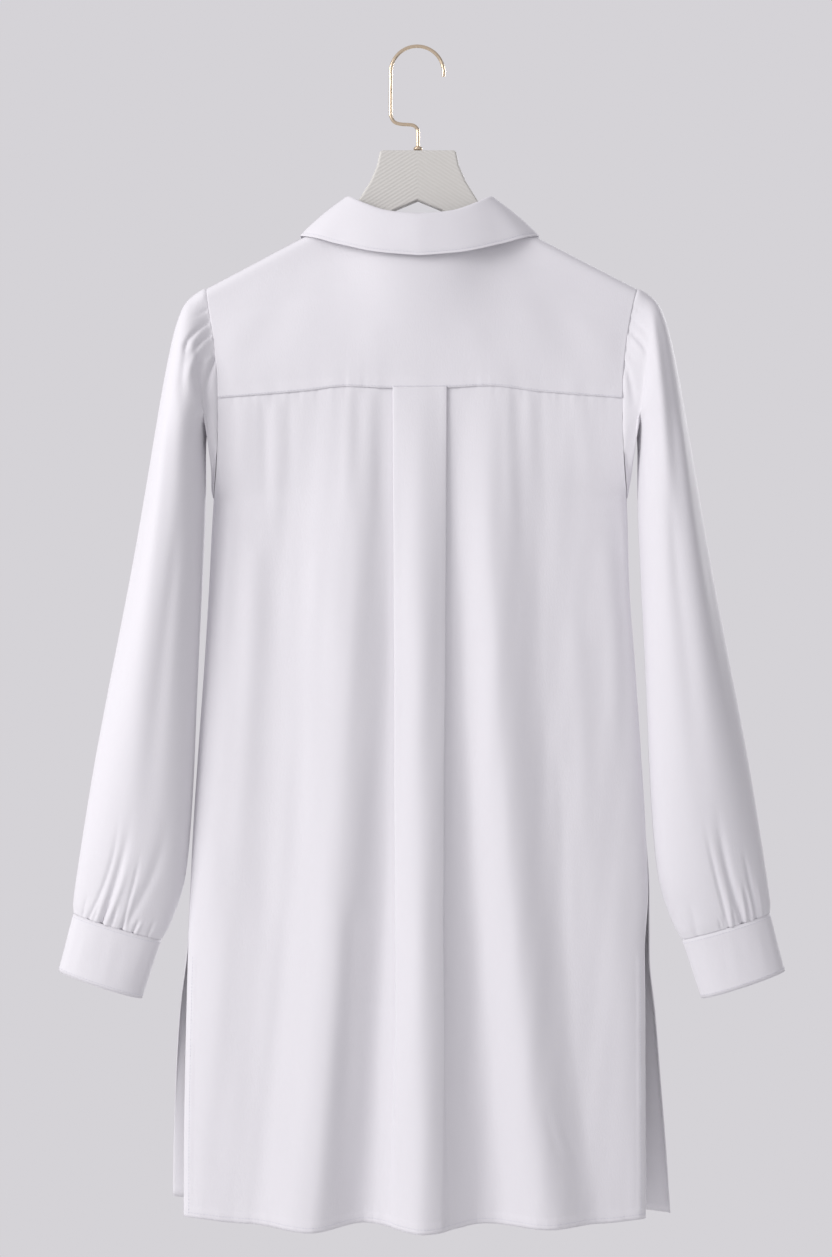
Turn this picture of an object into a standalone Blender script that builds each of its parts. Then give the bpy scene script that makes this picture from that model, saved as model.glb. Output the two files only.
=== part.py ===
"""Long white shirt with a back box pleat, gathered sleeves and a turned-down collar, on its hanger.

Metres, +Z up. The back of the shirt faces +Y and its front faces -Y, so the wearer's left is +X.
The origin is the inner top of the hanger's hook, where a rail carries it. Heights on the
garment are read as levels: millimetres down from the shoulder tips.
"""
import math

import bmesh
import bpy
import numpy as np
from mathutils import Vector

MM = 0.001
SHOULDER_TIP_Z = -0.2244
CLOTH = 1.2 * MM
SEAM_GAP = 0.3 * MM

YOKE_LEVEL = 101.0
UNDERARM_LEVEL = 195.0
HEM_LEVEL = 860.0
SHOULDER_ROUND = 9.0
YOKE_EDGE_DEPTH = 20.0
LENS_POWER = 2.2
CENTRE_LINE_X = -1.5

PLEAT_FACE_LEFT = 23.0
PLEAT_FACE_RIGHT = -26.4
PLEAT_UNDERLAP = 22.0
PLEAT_HEIGHT = 3.6
PLEAT_LAP_END = 0.62

FRONT_OVERLAP = 15.0
OVERLAP_TURN = 165
FRONT_LAYER = 2.3
PLACKET_LAYER = 1.65 * MM
BUTTON_RADIUS = 5.5 * MM
BUTTON_THICKNESS = 2.2 * MM
FRONT_BUTTON_LEVELS = (46, 135, 224, 313, 402, 491, 580)

WIRE_RADIUS = 1.65 * MM
PLATE_THICKNESS = 11 * MM

WHITE_CLOTH = ((0.86, 0.86, 0.90, 1.0), 0.75, 0.0)
BUTTON_WHITE = ((0.85, 0.85, 0.86, 1.0), 0.25, 0.0)
GREIGE_PAINT = ((0.62, 0.62, 0.57, 1.0), 0.55, 0.0)
CHAMPAGNE_METAL = ((0.78, 0.66, 0.50, 1.0), 0.28, 1.0)

# Side edges of the body: armhole down to the underarm, side seam down to the slits, then free edges
# of the back and of the front. Depths are those of the section's middle, behind and in front.
BODY_COLUMNS = ("level", "left", "right", "back", "front", "front_left", "front_right")
BODY = (
    (0, 196.5, -203.3, 22, 27, 196.5, -203.3),
    (15, 194.5, -199.3, 22, 28, 194.5, -199.3),
    (32, 191.6, -195.8, 22, 29, 191.6, -195.8),
    (50, 188.8, -192.7, 22.5, 29, 188.8, -192.7),
    (80, 185.4, -189.4, 23, 29, 185.4, -189.4),
    (120, 184.5, -188.5, 23.5, 29, 184.5, -188.5),
    (166, 186.2, -190.8, 24, 29, 186.2, -190.8),
    (195, 189.2, -193.4, 24.5, 29, 189.2, -193.4),
    (280, 193.8, -196.2, 26, 29, 193.8, -196.2),
    (350, 198.0, -201.4, 27, 30, 198.0, -201.4),
    (430, 203.6, -206.8, 28, 31, 203.6, -206.8),
    (500, 208.2, -211.1, 29, 31, 208.2, -211.1),
    (560, 211.2, -213.0, 30, 32, 211.2, -214.8),
    (616, 213.2, -209.6, 31, 32, 214.0, -214.8),
    (672, 214.4, -210.0, 32, 33, 221.6, -220.9),
    (731, 215.5, -210.0, 33, 34, 226.8, -226.0),
    (799, 216.3, -210.2, 34, 35, 230.2, -231.6),
    (860, 216.3, -210.4, 35, 36, 231.6, -235.8),
)

# Where each free edge of the slits stands, front to back.
EDGE_COLUMNS = ("level", "back_left", "back_right", "front_left", "front_right")
SLIT_EDGES = (
    (195, 0.5, 0.5, -0.5, -0.5),
    (500, 0.5, 0.5, -0.5, -0.5),
    (560, 0.5, 4.0, -0.5, -0.5),
    (616, 0.9, 8.5, -0.9, 2.5),
    (672, 5, 10, -12, -6),
    (731, 8, 11, -26, -11),
    (799, 11, 12, -37, -14),
    (860, 13, 12, -44, -16),
)

# Long folds: x and height out of the panel at the yoke, at two fifths and at the hem, and the
# hem's level there. Columns: x_top, x_mid, x_hem, out_top, out_mid, out_hem, hem.
BACK_FOLDS = (
    (200, 210, 217, 0, 0, 0, 858),
    (117, 116, 158, -0.5, -4, -2, 862),
    (59, 66, 99, 1.0, 5.5, 12, 867),
    (27, 27, 49, 0, -4.5, -12, 862),
    (-1.5, -3, -6, 0, 4, 14, 867),
    (-30, -42, -63, 0, -7, -13, 863),
    (-66, -77, -121, 1.0, 6, 10, 865),
    (-112, -119, -168, -0.5, -4, -4, 863),
    (-204, -212, -211, 0, 0, 0, 860),
)
FRONT_FOLDS = (
    (200, 210, 232, 0, 0, 0, 852),
    (150, 152, 160, 0, 3, 9, 859),
    (105, 108, 112, 0, -5, -13, 856),
    (60, 62, 66, 0, 5, 12, 862),
    (22, 22, 26, 0, -1, -5, 858),
    (0, 0, 0, 0, 0, 0, 860),
    (-24, -24, -30, 0, -1, -5, 858),
    (-66, -70, -76, 0, 6, 13, 862),
    (-112, -118, -128, 0, -5, -12, 857),
    (-158, -164, -178, 0, 3, 8, 860),
    (-204, -212, -236, 0, 0, 0, 862),
)

# Back yoke seam: x and level.
YOKE_SEAM_COLUMNS = ("x", "level")
YOKE_SEAM = (
    (-186, 102), (-112, 96.5), (-66, 91.5), (-27, 93), (23, 93.5), (67, 92), (104, 96), (182, 102),
)

# Half of the collar from the middle of the back to the middle of the front: the seam on the neck,
# the fold on top, and the leaf's outer edge. The last row is past the front edge, for the overlap.
COLLAR_COLUMNS = ("turn", "neck_x", "neck_y", "neck", "fold_x", "fold_y", "fold",
                  "edge_x", "edge_y", "edge")
COLLAR = (
    (0, 0, 27.0, -46.0, 0, 22.0, -66.0, 0, 34.0, -26.8),
    (25, 30, 25.0, -48.5, 29, 20.0, -69.5, 42, 31.0, -31.0),
    (50, 52, 18.5, -55.0, 50, 14.0, -77.5, 76, 22.0, -40.0),
    (72, 66, 9.0, -63.5, 62, 6.0, -84.0, 98, 13.0, -49.0),
    (90, 71, 0.0, -67.5, 65.3, -2.0, -85.4, 111.0, -2.0, -51.5),
    (110, 66, -14.0, -58.0, 61, -14.0, -81.0, 109, -21.0, -38.0),
    (135, 46, -31.0, -32.0, 43, -29.0, -58.0, 96, -37.0, -2.0),
    (160, 20, -41.0, -4.0, 19, -38.5, -30.0, 80, -44.0, 24.0),
    (180, 2, -43.5, 5.0, 2, -41.0, -20.0, 60, -48.0, 46.0),
    (196, -13, -42.1, 0.0, -13, -39.6, -25.8, 50, -50.0, 50.0),
)

# Sleeve rings below the armhole: outer and inner point from the centre line, level of each,
# half depth front to back, and the height of the cap's and of the cuff's gathers.
# Columns: out_x, out level, in_x, in level, half, cap, cuff.
SLEEVE_RINGS = (
    (212.0, 6.5, 195.0, 174, 24.5, 1.8, 0),
    (220.5, 16.5, 196.9, 150, 29.5, 2.6, 0),
    (228.0, 35, 199.4, 130, 34, 2.6, 0),
    (234.5, 62, 203.0, 119, 38, 1.8, 0),
    (240.5, 94, 209.2, 123, 41.5, 1.0, 0),
    (247.0, 134, 210.8, 148, 43, 0.5, 0),
    (256.0, 187, 207.6, 197, 44, 0.2, 0),
    (267.3, 251, 206.6, 261, 43, 0, 0),
    (279.0, 312, 207.6, 323, 41, 0, 0),
    (291.0, 374, 209.6, 387, 38, 0, 0),
    (303.3, 440, 212.6, 454, 35, 0, 0.3),
    (312.8, 496, 216.4, 512, 31, 0, 0.9),
    (318.6, 534, 221.5, 552, 27, 0, 1.8),
    (321.8, 560, 232.5, 584, 22, 0, 2.4),
    (323.2, 579.5, 242.2, 603.9, 17.6, 0, 0.3),
)
CUFF_TOP = (323.4, 580.2, 242.4, 604.6, 17.5)
CUFF_BOTTOM = (337.2, 633.0, 260.4, 658.6, 18.5)
CAP_COLUMNS = 24
UNDER_COLUMNS = 12
CAP_HALF_TURN = math.radians(105)
GATHER_TURN = math.radians(88)
CUFF_GATHERS = 13


def clear_scene():
    for item in list(bpy.data.objects):
        bpy.data.objects.remove(item, do_unlink=True)


def material(name, finish):
    colour, roughness, metallic = finish
    made = bpy.data.materials.new(name)
    made.use_nodes = True
    shader = made.node_tree.nodes["Principled BSDF"]
    shader.inputs["Base Color"].default_value = colour
    shader.inputs["Roughness"].default_value = roughness
    shader.inputs["Metallic"].default_value = metallic
    return made


def along(rows, names, key, wanted, value):
    """One column of a table as a smooth curve through its rows."""
    knots = np.array([row[names.index(key)] for row in rows], float)
    heights = np.array([row[names.index(wanted)] for row in rows], float)
    steps = np.diff(heights) / np.diff(knots)
    slopes = np.concatenate((steps[:1], (steps[1:] + steps[:-1]) / 2, steps[-1:]))
    level = np.concatenate((steps[:1], steps)) * np.concatenate((steps, steps[-1:])) <= 0
    slopes[level] = 0.0
    value = np.clip(value, min(knots), max(knots))
    i = np.clip(np.searchsorted(knots, value, side="right") - 1, 0, len(knots) - 2)
    span = knots[i + 1] - knots[i]
    t = (value - knots[i]) / span
    rise = heights[i + 1] - heights[i]
    bend = t * (1 - t) * ((1 - t) * (slopes[i] * span - rise) - t * (slopes[i + 1] * span - rise))
    return heights[i] + rise * t + bend


def ease(t):
    t = np.clip(t, 0.0, 1.0)
    return t * t * (3 - 2 * t)


def body(wanted, level):
    return along(BODY, BODY_COLUMNS, "level", wanted, level)


def slit_edge(wanted, level):
    return along(SLIT_EDGES, EDGE_COLUMNS, "level", wanted, max(level, UNDERARM_LEVEL))


def collar(wanted, turn):
    """A collar column at a turn from the middle of the back; x changes sign with the side."""
    side = -1 if turn < 0 else 1
    value = along(COLLAR, COLLAR_COLUMNS, "turn", wanted, abs(turn))
    return side * value if wanted.endswith("_x") else value


def point(x, y, level):
    return (x * MM, y * MM, SHOULDER_TIP_Z - level * MM)


def armhole_depth(level):
    """How far the armhole stands behind or before the shoulder line."""
    if level >= YOKE_LEVEL:
        fall = min((level - YOKE_LEVEL) / (UNDERARM_LEVEL - YOKE_LEVEL), 1.0)
        return max(YOKE_EDGE_DEPTH * math.sqrt(1 - fall * fall), 0.5)
    share = ease(level / YOKE_LEVEL)
    return (0.7 + shoulder_turn(level)) * (1 - share) + YOKE_EDGE_DEPTH * share


def shoulder_turn(below):
    """Depth of the cloth as it turns over the hanger's arm."""
    rest = 1 - min(max(below, 0.0), SHOULDER_ROUND) / SHOULDER_ROUND
    return (SHOULDER_ROUND - 1) * math.sqrt(1 - rest * rest)


def lens(s, level, which):
    """Depth of the back (+) or front (-) across its width, s from -1 at the right to 1 at the left."""
    sign = 1 if which == "back" else -1
    middle = body(which, max(level, YOKE_LEVEL))
    if level < UNDERARM_LEVEL:
        edge = armhole_depth(max(level, YOKE_LEVEL))
        left = right = sign * edge
        reach = (1 - (edge / middle) ** LENS_POWER) ** (1 / LENS_POWER)
    else:
        left = slit_edge(which + "_left", level)
        right = slit_edge(which + "_right", level)
        reach = 1.0
    floor = (1 - reach ** LENS_POWER) ** (1 / LENS_POWER)
    crown = (max(1 - (reach * abs(s)) ** LENS_POWER, 0.0)) ** (1 / LENS_POWER)
    share = (crown - floor) / (1 - floor)
    flat = left * (1 + s) / 2 + right * (1 - s) / 2
    return flat * (1 - share) + sign * middle * share


def fold(folds, x, level):
    """Height of the long folds and the hem's level at x, from one fold line to the next."""
    v = min(max((level - YOKE_LEVEL) / (HEM_LEVEL - YOKE_LEVEL), 0.0), 1.0)
    lines = []
    for x_top, x_mid, x_hem, out_top, out_mid, out_hem, hem in folds:
        shares = ((v - 0.4) * (v - 1) / 0.4, v * (v - 1) / -0.24, v * (v - 0.4) / 0.6)
        place = shares[0] * x_top + shares[1] * x_mid + shares[2] * x_hem
        if v < 0.4:
            out = out_top + (out_mid - out_top) * ease((v / 0.4) ** 0.6)
        else:
            out = out_mid + (out_hem - out_mid) * ((v - 0.4) / 0.6) ** 1.2
        lines.append((place, out, hem))
    lines.sort()
    x = min(max(x, lines[0][0]), lines[-1][0])
    for low, high in zip(lines, lines[1:]):
        if x <= high[0]:
            t = ease((x - low[0]) / (high[0] - low[0]))
            return low[1] + (high[1] - low[1]) * t, low[2] + (high[2] - low[2]) * t
    return lines[-1][1], lines[-1][2]


def width_place(x, level, front=False):
    """x as a share of the width at this level, -1 at the right edge and 1 at the left."""
    left, right = edges(level, front)
    return (2 * x - left - right) / (left - right)


def edges(level, front=False):
    if front:
        return body("front_left", level), body("front_right", level)
    return body("left", level), body("right", level)


def from_share(s, level, front=False):
    left, right = edges(level, front)
    return (left + right) / 2 + s * (left - right) / 2


def yoke_seam(x):
    return along(YOKE_SEAM, YOKE_SEAM_COLUMNS, "x", "level", x)


def top_line(steps_shoulder, turns, side):
    """Points of a panel's top edge on one side: along the shoulder, then round the neck."""
    tip = body("left" if side > 0 else "right", 0)
    neck_x = CENTRE_LINE_X + side * collar("neck_x", 90)
    line = []
    for t in steps_shoulder:
        x = tip + (neck_x - tip) * t
        line.append((x, 0.7, collar("neck", 90) * t, 1.0))
    for turn in turns:
        x = CENTRE_LINE_X + side * collar("neck_x", turn)
        near = ease(1 - abs(turn - 90) / 30)
        line.append((x, abs(collar("neck_y", turn)) + 0.7 * near, collar("neck", turn), near))
    return line


def upper_depth(top, level, deep, v):
    """Depth between the top edge and the yoke's level: over the hanger, then as the body."""
    x, y_top, level_top, shoulder = top
    share = ease(v)
    turned = shoulder_turn(level - level_top) * shoulder
    return (y_top + turned) * (1 - share) + deep * share


def piece(name, rows, finish, ring=False):
    """A wall of cloth on a grid of its middle surface; ring joins the last column to the first."""
    grid = bmesh.new()
    verts = [[grid.verts.new(p) for p in row] for row in rows]
    count = len(rows[0])
    for upper, lower in zip(verts, verts[1:]):
        for j in range(count if ring else count - 1):
            k = (j + 1) % count
            grid.faces.new((upper[j], lower[j], lower[k], upper[k]))
    mesh = bpy.data.meshes.new(name)
    grid.to_mesh(mesh)
    grid.free()
    mesh.materials.append(finish)
    mesh.shade_smooth()
    made = bpy.data.objects.new(name, mesh)
    bpy.context.scene.collection.objects.link(made)
    solid = made.modifiers.new("Wall", 'SOLIDIFY')
    solid.thickness = CLOTH
    solid.offset = 0.0
    return made


def spread_depths(row, reach, keep):
    """Evens the depths of a row of points over a reach in x, less where keep is near 1."""
    place = np.array(row)
    weight = np.exp(-((place[:, None, 0] - place[None, :, 0]) / (reach * MM)) ** 2)
    weight = weight * np.abs(np.gradient(place[:, 0]))[None, :]
    even = (weight @ place[:, 1]) / weight.sum(axis=1)
    place[:, 1] = place[:, 1] * keep + even * (1 - keep)
    return [tuple(p) for p in place]


def back_yoke(cloth):
    shoulder = (0, 0.03, 0.1, 0.25, 0.45, 0.65, 0.85)
    turns = (90, 78, 64, 50, 36, 22, 8)
    left = top_line(shoulder, turns, 1)
    right = top_line(shoulder, turns, -1)
    tops = left + right[::-1]
    rows = []
    for v in (0, 0.02, 0.05, 0.1, 0.2, 0.35, 0.55, 0.78, 1):
        row = []
        shares = []
        for top in tops:
            s = width_place(top[0], 0)
            shares.append(s)
            x = from_share(s, YOKE_LEVEL * v)
            seam = yoke_seam(x)
            level = top[2] + (seam - 0.2 - top[2]) * v
            y = upper_depth(top, level, lens(s, YOKE_LEVEL, "back"), v)
            over_pleat = 1.6 * ease(1 - abs(x - CENTRE_LINE_X) / 60) * ease(2 * v - 1)
            row.append(point(x, y + over_pleat, level))
        keep = 1 - ease(v / 0.25) * ease((1 - np.abs(np.array(shares))) / 0.12)
        keep = np.maximum(keep, ease((v - 0.9) / 0.1))
        rows.append(spread_depths(row, 6 + 40 * v, keep))
    return piece("back_yoke", rows, cloth)


def pleat_half(edge, inward, v):
    """The box pleat's path from the flank to its face: x, and height above the panel.

    The cloth turns back under the face, lies between them, and turns again at the face's edge.
    Further down the lap between the two turns runs out, and then the turns themselves flatten.
    """
    open_share = ease((v - PLEAT_LAP_END) / (1 - PLEAT_LAP_END))
    turned = math.radians(180 - 155 * open_share)
    height = PLEAT_HEIGHT * (1 + 0.9 * v * (1 - open_share))
    lap_share = max(1 - (v / PLEAT_LAP_END) ** 2, 0.0)
    lap = 1.2 + (PLEAT_UNDERLAP - PLEAT_HEIGHT / 2 - 1.2) * lap_share
    radius = (height - lap * math.sin(turned)) / (2 * (1 - math.cos(turned)))
    middle = (lap / 2 + radius) * (1 - open_share) - 4 * open_share
    ahead = (math.cos(turned), math.sin(turned))
    outer = []
    for step in range(5):
        angle = turned * (1 - step / 4)
        across = ahead[0] * lap / 2 + radius * (ahead[1] - math.sin(angle))
        rise = ahead[1] * lap / 2 + radius * (math.cos(angle) - ahead[0])
        outer.append((across, rise))
    inner = [(-across, -rise) for across, rise in outer[::-1]]
    path = inner + [(0.0, 0.0)] + outer
    turns = [(middle + across, height / 2 + rise) for across, rise in path]
    start = turns[0][0]
    flank = [(-34, 0), (start - lap - 10 * (1 - lap_share), 0),
             (start - lap / 2 - 5 * (1 - lap_share), 0)]
    return [(edge + inward * across, rise) for across, rise in flank + turns]


def back_panel(cloth):
    flank = (1, 0.99, 0.965, 0.91, 0.81, 0.68, 0.55, 0.43, 0.32, 0.21, 0.1)
    levels = (101, 125, 155, 180, 195, 225, 280, 340, 410, 480, 550, 616, 672, 731, 785, 830, 860)
    rows = []
    for side_level in levels:
        v = (side_level - YOKE_LEVEL) / (HEM_LEVEL - YOKE_LEVEL)
        left_edge = PLEAT_FACE_LEFT - 4 * v
        right_edge = PLEAT_FACE_RIGHT + 5 * v
        left = pleat_half(left_edge, -1, v)
        right = pleat_half(right_edge, 1, v)
        middle = (left_edge + right_edge) / 2
        steps = []
        for share in flank:
            steps.append((from_share(1, side_level) * share + left[0][0] * (1 - share), 0.0))
        steps += left
        face = left[-1][1]
        for share in (0.3, 0.5, 0.7):
            steps.append((left[-1][0] * (1 - share) + right[-1][0] * share, face + 0.3))
        steps += right[::-1]
        for share in flank[::-1]:
            steps.append((from_share(-1, side_level) * share + right[0][0] * (1 - share), 0.0))
        row = []
        for x, lift in steps:
            s = width_place(x, side_level)
            out, hem = fold(BACK_FOLDS, x, side_level)
            fade = ease((1 - abs(s)) / 0.08)
            level = side_level + (yoke_seam(x) + 0.3 - YOKE_LEVEL) * (1 - v) + (hem - HEM_LEVEL) * v
            y = lens(s, side_level, "back") + out * fade + lift
            row.append(point(x, y, level))
        rows.append(row)
    return piece("back_panel", rows, cloth)


def front_surface(x, top, side_level, lift):
    s = width_place(x, side_level, True)
    out, hem = fold(FRONT_FOLDS, x, side_level)
    v = side_level / HEM_LEVEL
    level = top[2] * (1 - v) + (side_level + (hem - HEM_LEVEL) * v)
    if top[2] > 0:
        level = top[2] + (hem - top[2]) * v
    fade = ease((1 - abs(s)) / 0.08)
    if side_level < YOKE_LEVEL:
        deep = -lens(s, YOKE_LEVEL, "front")
        y = -upper_depth(top, level, deep, side_level / YOKE_LEVEL)
    else:
        y = lens(s, side_level, "front")
    y -= out * fade
    return point(x, y + lift, level)


FRONT_LEVELS = (0, 2, 5, 10, 22, 45, 72, 101, 125, 155, 180, 195, 225, 280, 340, 410, 480, 550,
                616, 672, 731, 785, 830, 860)


def front_columns(side):
    """Top points of one front, from the shoulder tip to past the centre line."""
    shoulder = (0, 0.012, 0.04, 0.1, 0.22, 0.4, 0.62, 0.83)
    turns = (90, 98, 108, 122, 138, 152, OVERLAP_TURN, 173)
    return top_line(shoulder, turns, side)


def front_rows(side, tops, lift_at):
    rows = []
    for side_level in FRONT_LEVELS:
        row = []
        for top in tops:
            s = width_place(top[0], 0)
            x = from_share(s, side_level, True)
            near_middle = ease(1.7 - abs(x - CENTRE_LINE_X) / 28)
            x += (top[0] - x) * near_middle
            row.append(front_surface(x, top, side_level, lift_at(x)))
        v = side_level / YOKE_LEVEL
        if v < 3:
            places = np.array([(x / MM - CENTRE_LINE_X) * side for x, y, z in row])
            keep = 1 - ease(v / 0.25) * ease((places - 24) / 20) * ease((186 - places) / 24)
            row = spread_depths(row, 6 + 34 * min(v, 1), np.maximum(keep, ease((v - 2) / 1)))
        rows.append(row if side > 0 else row[::-1])
    return rows


def overlap_tops(side):
    """Columns of a front past the centre line, under or over the other one."""
    tops = []
    for turn in (173, OVERLAP_TURN):
        x = CENTRE_LINE_X - side * collar("neck_x", turn)
        tops.append((x, abs(collar("neck_y", turn)), collar("neck", turn), 0.0))
    return tops


def front_left(cloth):
    tops = front_columns(1) + overlap_tops(1)
    start = CENTRE_LINE_X + 2.2 * FRONT_OVERLAP

    def lift_at(x):
        return FRONT_LAYER * ease((start - x) / (FRONT_OVERLAP * 0.8))
    rows = front_rows(1, tops, lift_at)
    return piece("front_left", [row[::-1] for row in rows], cloth)


def right_front_rows():
    return front_rows(-1, front_columns(-1) + overlap_tops(-1), lambda x: 0.0)


def front_right(cloth):
    return piece("front_right", [row[::-1] for row in right_front_rows()], cloth)


def placket_rows():
    """The band on the right front's edge: the front's own last points, moved out."""
    rows = []
    for row in right_front_rows()[1:]:
        rows.append([(x, y - PLACKET_LAYER, z) for x, y, z in row[3::-1]])
    return rows


def placket(cloth):
    return piece("placket", placket_rows(), cloth)


def armhole(turn, side):
    """Point of the armhole seam; turn 0 at the shoulder tip, 180 at the underarm, behind first."""
    level = UNDERARM_LEVEL / 2 * (1 - math.cos(turn))
    x = body("left" if side > 0 else "right", level)
    depth = armhole_depth(level) if 0 < level < UNDERARM_LEVEL else 0.0
    return x, depth * (1 if math.sin(turn) >= 0 else -1), level


def ring_turns():
    """Turns of the sleeve's columns, closer over the cap, where it is gathered."""
    turns = []
    for j in range(CAP_COLUMNS):
        turns.append(-CAP_HALF_TURN + 2 * CAP_HALF_TURN * j / CAP_COLUMNS)
    rest = 2 * math.pi - 2 * CAP_HALF_TURN
    for j in range(UNDER_COLUMNS):
        turns.append(CAP_HALF_TURN + rest * j / UNDER_COLUMNS)
    return turns


def oval(out_x, out, in_x, inner, half, turn, lift, side):
    """Point of a ring between its outer and inner point, pushed out by lift."""
    mid_x = (out_x + in_x) / 2
    mid = (out + inner) / 2
    reach = math.hypot(out_x - in_x, out - inner) / 2
    along_x = (out_x - in_x) / 2 / reach
    along_level = (out - inner) / 2 / reach
    c = math.cos(turn)
    s = math.sin(turn)
    x = mid_x + (reach * c + lift * c) * along_x
    level = mid + (reach * c + lift * c) * along_level
    y = (half + lift) * s
    return point(CENTRE_LINE_X - 2 + side * x, y, level)


def sleeve(name, side, cloth):
    turns = ring_turns()
    first = []
    second = []
    for turn in turns:
        x, y, level = armhole(turn, side)
        under = ease((level - 120) / 60)
        gap = 0.9 + 1.2 * under
        first.append(point(x + side * gap, y, level - 0.8 * under))
        depth = y * (1 + 0.1 * (1 - under))
        rise = 1 - 10 * under
        second.append(point(x + side * (gap + 3.5 - 2 * under), depth, level + rise))
    rows = [first, second]
    for out_x, out, in_x, inner, half, cap, cuff in SLEEVE_RINGS:
        row = []
        for j, turn in enumerate(turns):
            lift = cuff * math.cos(CUFF_GATHERS * 2 * math.pi * j / len(turns))
            if j < CAP_COLUMNS:
                lift += cap * (1 if j % 2 else -1) * ease((GATHER_TURN - abs(turn)) / 0.6)
            row.append(oval(out_x, out, in_x, inner, half, turn, lift, side))
        rows.append(row)
    return piece(name, rows if side < 0 else [row[::-1] for row in rows], cloth, ring=True)


def cuff(name, side, cloth):
    rows = []
    steps = 30
    start = math.radians(-75)
    sweep = math.radians(392)
    for v in (0, 0.5, 1):
        shape = [a + (b - a) * v for a, b in zip(CUFF_TOP, CUFF_BOTTOM)]
        row = []
        for j in range(steps + 1):
            lap = 1.9 * ease((j / steps - 0.8) / 0.12)
            turn = start + sweep * j / steps
            row.append(oval(*shape, turn, lap, side))
        rows.append(row if side < 0 else row[::-1])
    return piece(name, rows, cloth)


def collar_turns(last):
    half = (0, 16, 32, 47, 61, 74, 84, 93, 104, 118, 134, 150, 166, last)
    return [-t for t in half[:0:-1]] + list(half)


def collar_row(share, turns, lift):
    row = []
    for turn in turns:
        low = np.array([collar("neck_x", turn), collar("neck_y", turn), collar("neck", turn)])
        high = np.array([collar("fold_x", turn), collar("fold_y", turn), collar("fold", turn)])
        inset = np.array([-low[0], -low[1], 0.0]) * (1.1 / math.hypot(low[0], low[1]))
        low = low + inset + np.array([0, 0, -0.9])
        front_drop = 1 - 0.36 * ease((abs(turn) - 140) / 30)
        x, y, level = low + (high - low) * share * front_drop
        over = ease((turn - 142) / 24) - ease((-turn - 142) / 24)
        row.append(point(CENTRE_LINE_X + x, y + lift * over, level))
    return row


def collar_stand(cloth):
    turns = [-t for t in collar_turns(192)]
    rows = [collar_row(share, turns, 1.15) for share in (0.835, 0.42, 0.0)]
    return piece("collar_stand", rows, cloth)


def collar_leaf(cloth):
    """From the stand's top over the fold, then down outside to the leaf's edge."""
    turns = [-t for t in collar_turns(178)]
    rows = []
    for share, out in ((0.86, 0.0), (0.97, 0.3), (1.03, 2.0), (1.0, 3.6), (0.94, 4.5)):
        row = []
        for turn in turns:
            low = np.array([collar("neck_x", turn), collar("neck_y", turn), collar("neck", turn)])
            high = np.array([collar("fold_x", turn), collar("fold_y", turn), collar("fold", turn)])
            away = np.array([high[0], high[1], 0.0]) / math.hypot(high[0], high[1])
            x, y, level = low + (high - low) * share + away * (out - 0.9 * (1 - share))
            row.append(point(CENTRE_LINE_X + x, y, level))
        rows.append(row)
    bow = {0.35: 1.4, 0.7: 1.3, 1.0: 0.0}
    for share, lift in bow.items():
        row = []
        for j, turn in enumerate(turns):
            upper = Vector(rows[4][j])
            edge = Vector(point(CENTRE_LINE_X + collar("edge_x", turn), collar("edge_y", turn),
                                collar("edge", turn)))
            away = Vector((collar("fold_x", turn), collar("fold_y", turn), 0.0)).normalized()
            row.append(upper.lerp(edge, share) + away * lift * MM)
        rows.append(row)
    return piece("collar_leaf", rows, cloth)


def button(name, place, outward, finish):
    """A turned disc with a sunk middle, its back on place."""
    profile = ((0.9, 0.0), (1.0, 0.6), (0.85, 1.0), (0.6, 0.65))
    sides = 12
    disc = bmesh.new()
    axis = Vector(outward).normalized()
    turn = Vector((0, 0, 1)).rotation_difference(axis)
    rings = []
    for radius, height in profile:
        ring = []
        for i in range(sides):
            angle = 2 * math.pi * i / sides
            flat = Vector((math.cos(angle) * radius * BUTTON_RADIUS,
                           math.sin(angle) * radius * BUTTON_RADIUS, height * BUTTON_THICKNESS))
            ring.append(disc.verts.new(Vector(place) + turn @ flat))
        rings.append(ring)
    for low, high in zip(rings, rings[1:]):
        for i in range(sides):
            k = (i + 1) % sides
            disc.faces.new((low[i], low[k], high[k], high[i]))
    disc.faces.new(rings[0][::-1])
    disc.faces.new(rings[-1])
    mesh = bpy.data.meshes.new(name)
    disc.to_mesh(mesh)
    disc.free()
    mesh.materials.append(finish)
    made = bpy.data.objects.new(name, mesh)
    bpy.context.scene.collection.objects.link(made)
    return made


def front_buttons(finish):
    rows = placket_rows()
    middles = [(Vector(row[1]) + Vector(row[2])) / 2 for row in rows]
    for number, side_level in enumerate(FRONT_BUTTON_LEVELS, 1):
        below = int(np.searchsorted(FRONT_LEVELS[1:], side_level))
        low, high = FRONT_LEVELS[below], FRONT_LEVELS[below + 1]
        here = middles[below - 1].lerp(middles[below], (side_level - low) / (high - low))
        slope = (middles[below] - middles[below - 1]).normalized()
        across = (Vector(rows[below][1]) - Vector(rows[below][2])).normalized()
        outward = across.cross(slope).normalized()
        if outward.y > 0:
            outward = -outward
        button("button_%d" % number, here + outward * (CLOTH / 2 + SEAM_GAP), outward, finish)


def cuff_button(name, side, finish):
    turn = math.radians(-55)
    shape = [(a + b) / 2 for a, b in zip(CUFF_TOP, CUFF_BOTTOM)]
    here = Vector(oval(*shape, turn, 1.9, side))
    step = Vector(oval(*shape, turn + 0.1, 1.9, side)) - here
    down = Vector(oval(*CUFF_BOTTOM, turn, 1.9, side)) - here
    outward = step.cross(down).normalized()
    if outward.y > 0:
        outward = -outward
    button(name, here + outward * (CLOTH / 2 + 2 * SEAM_GAP), outward, finish)


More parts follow.
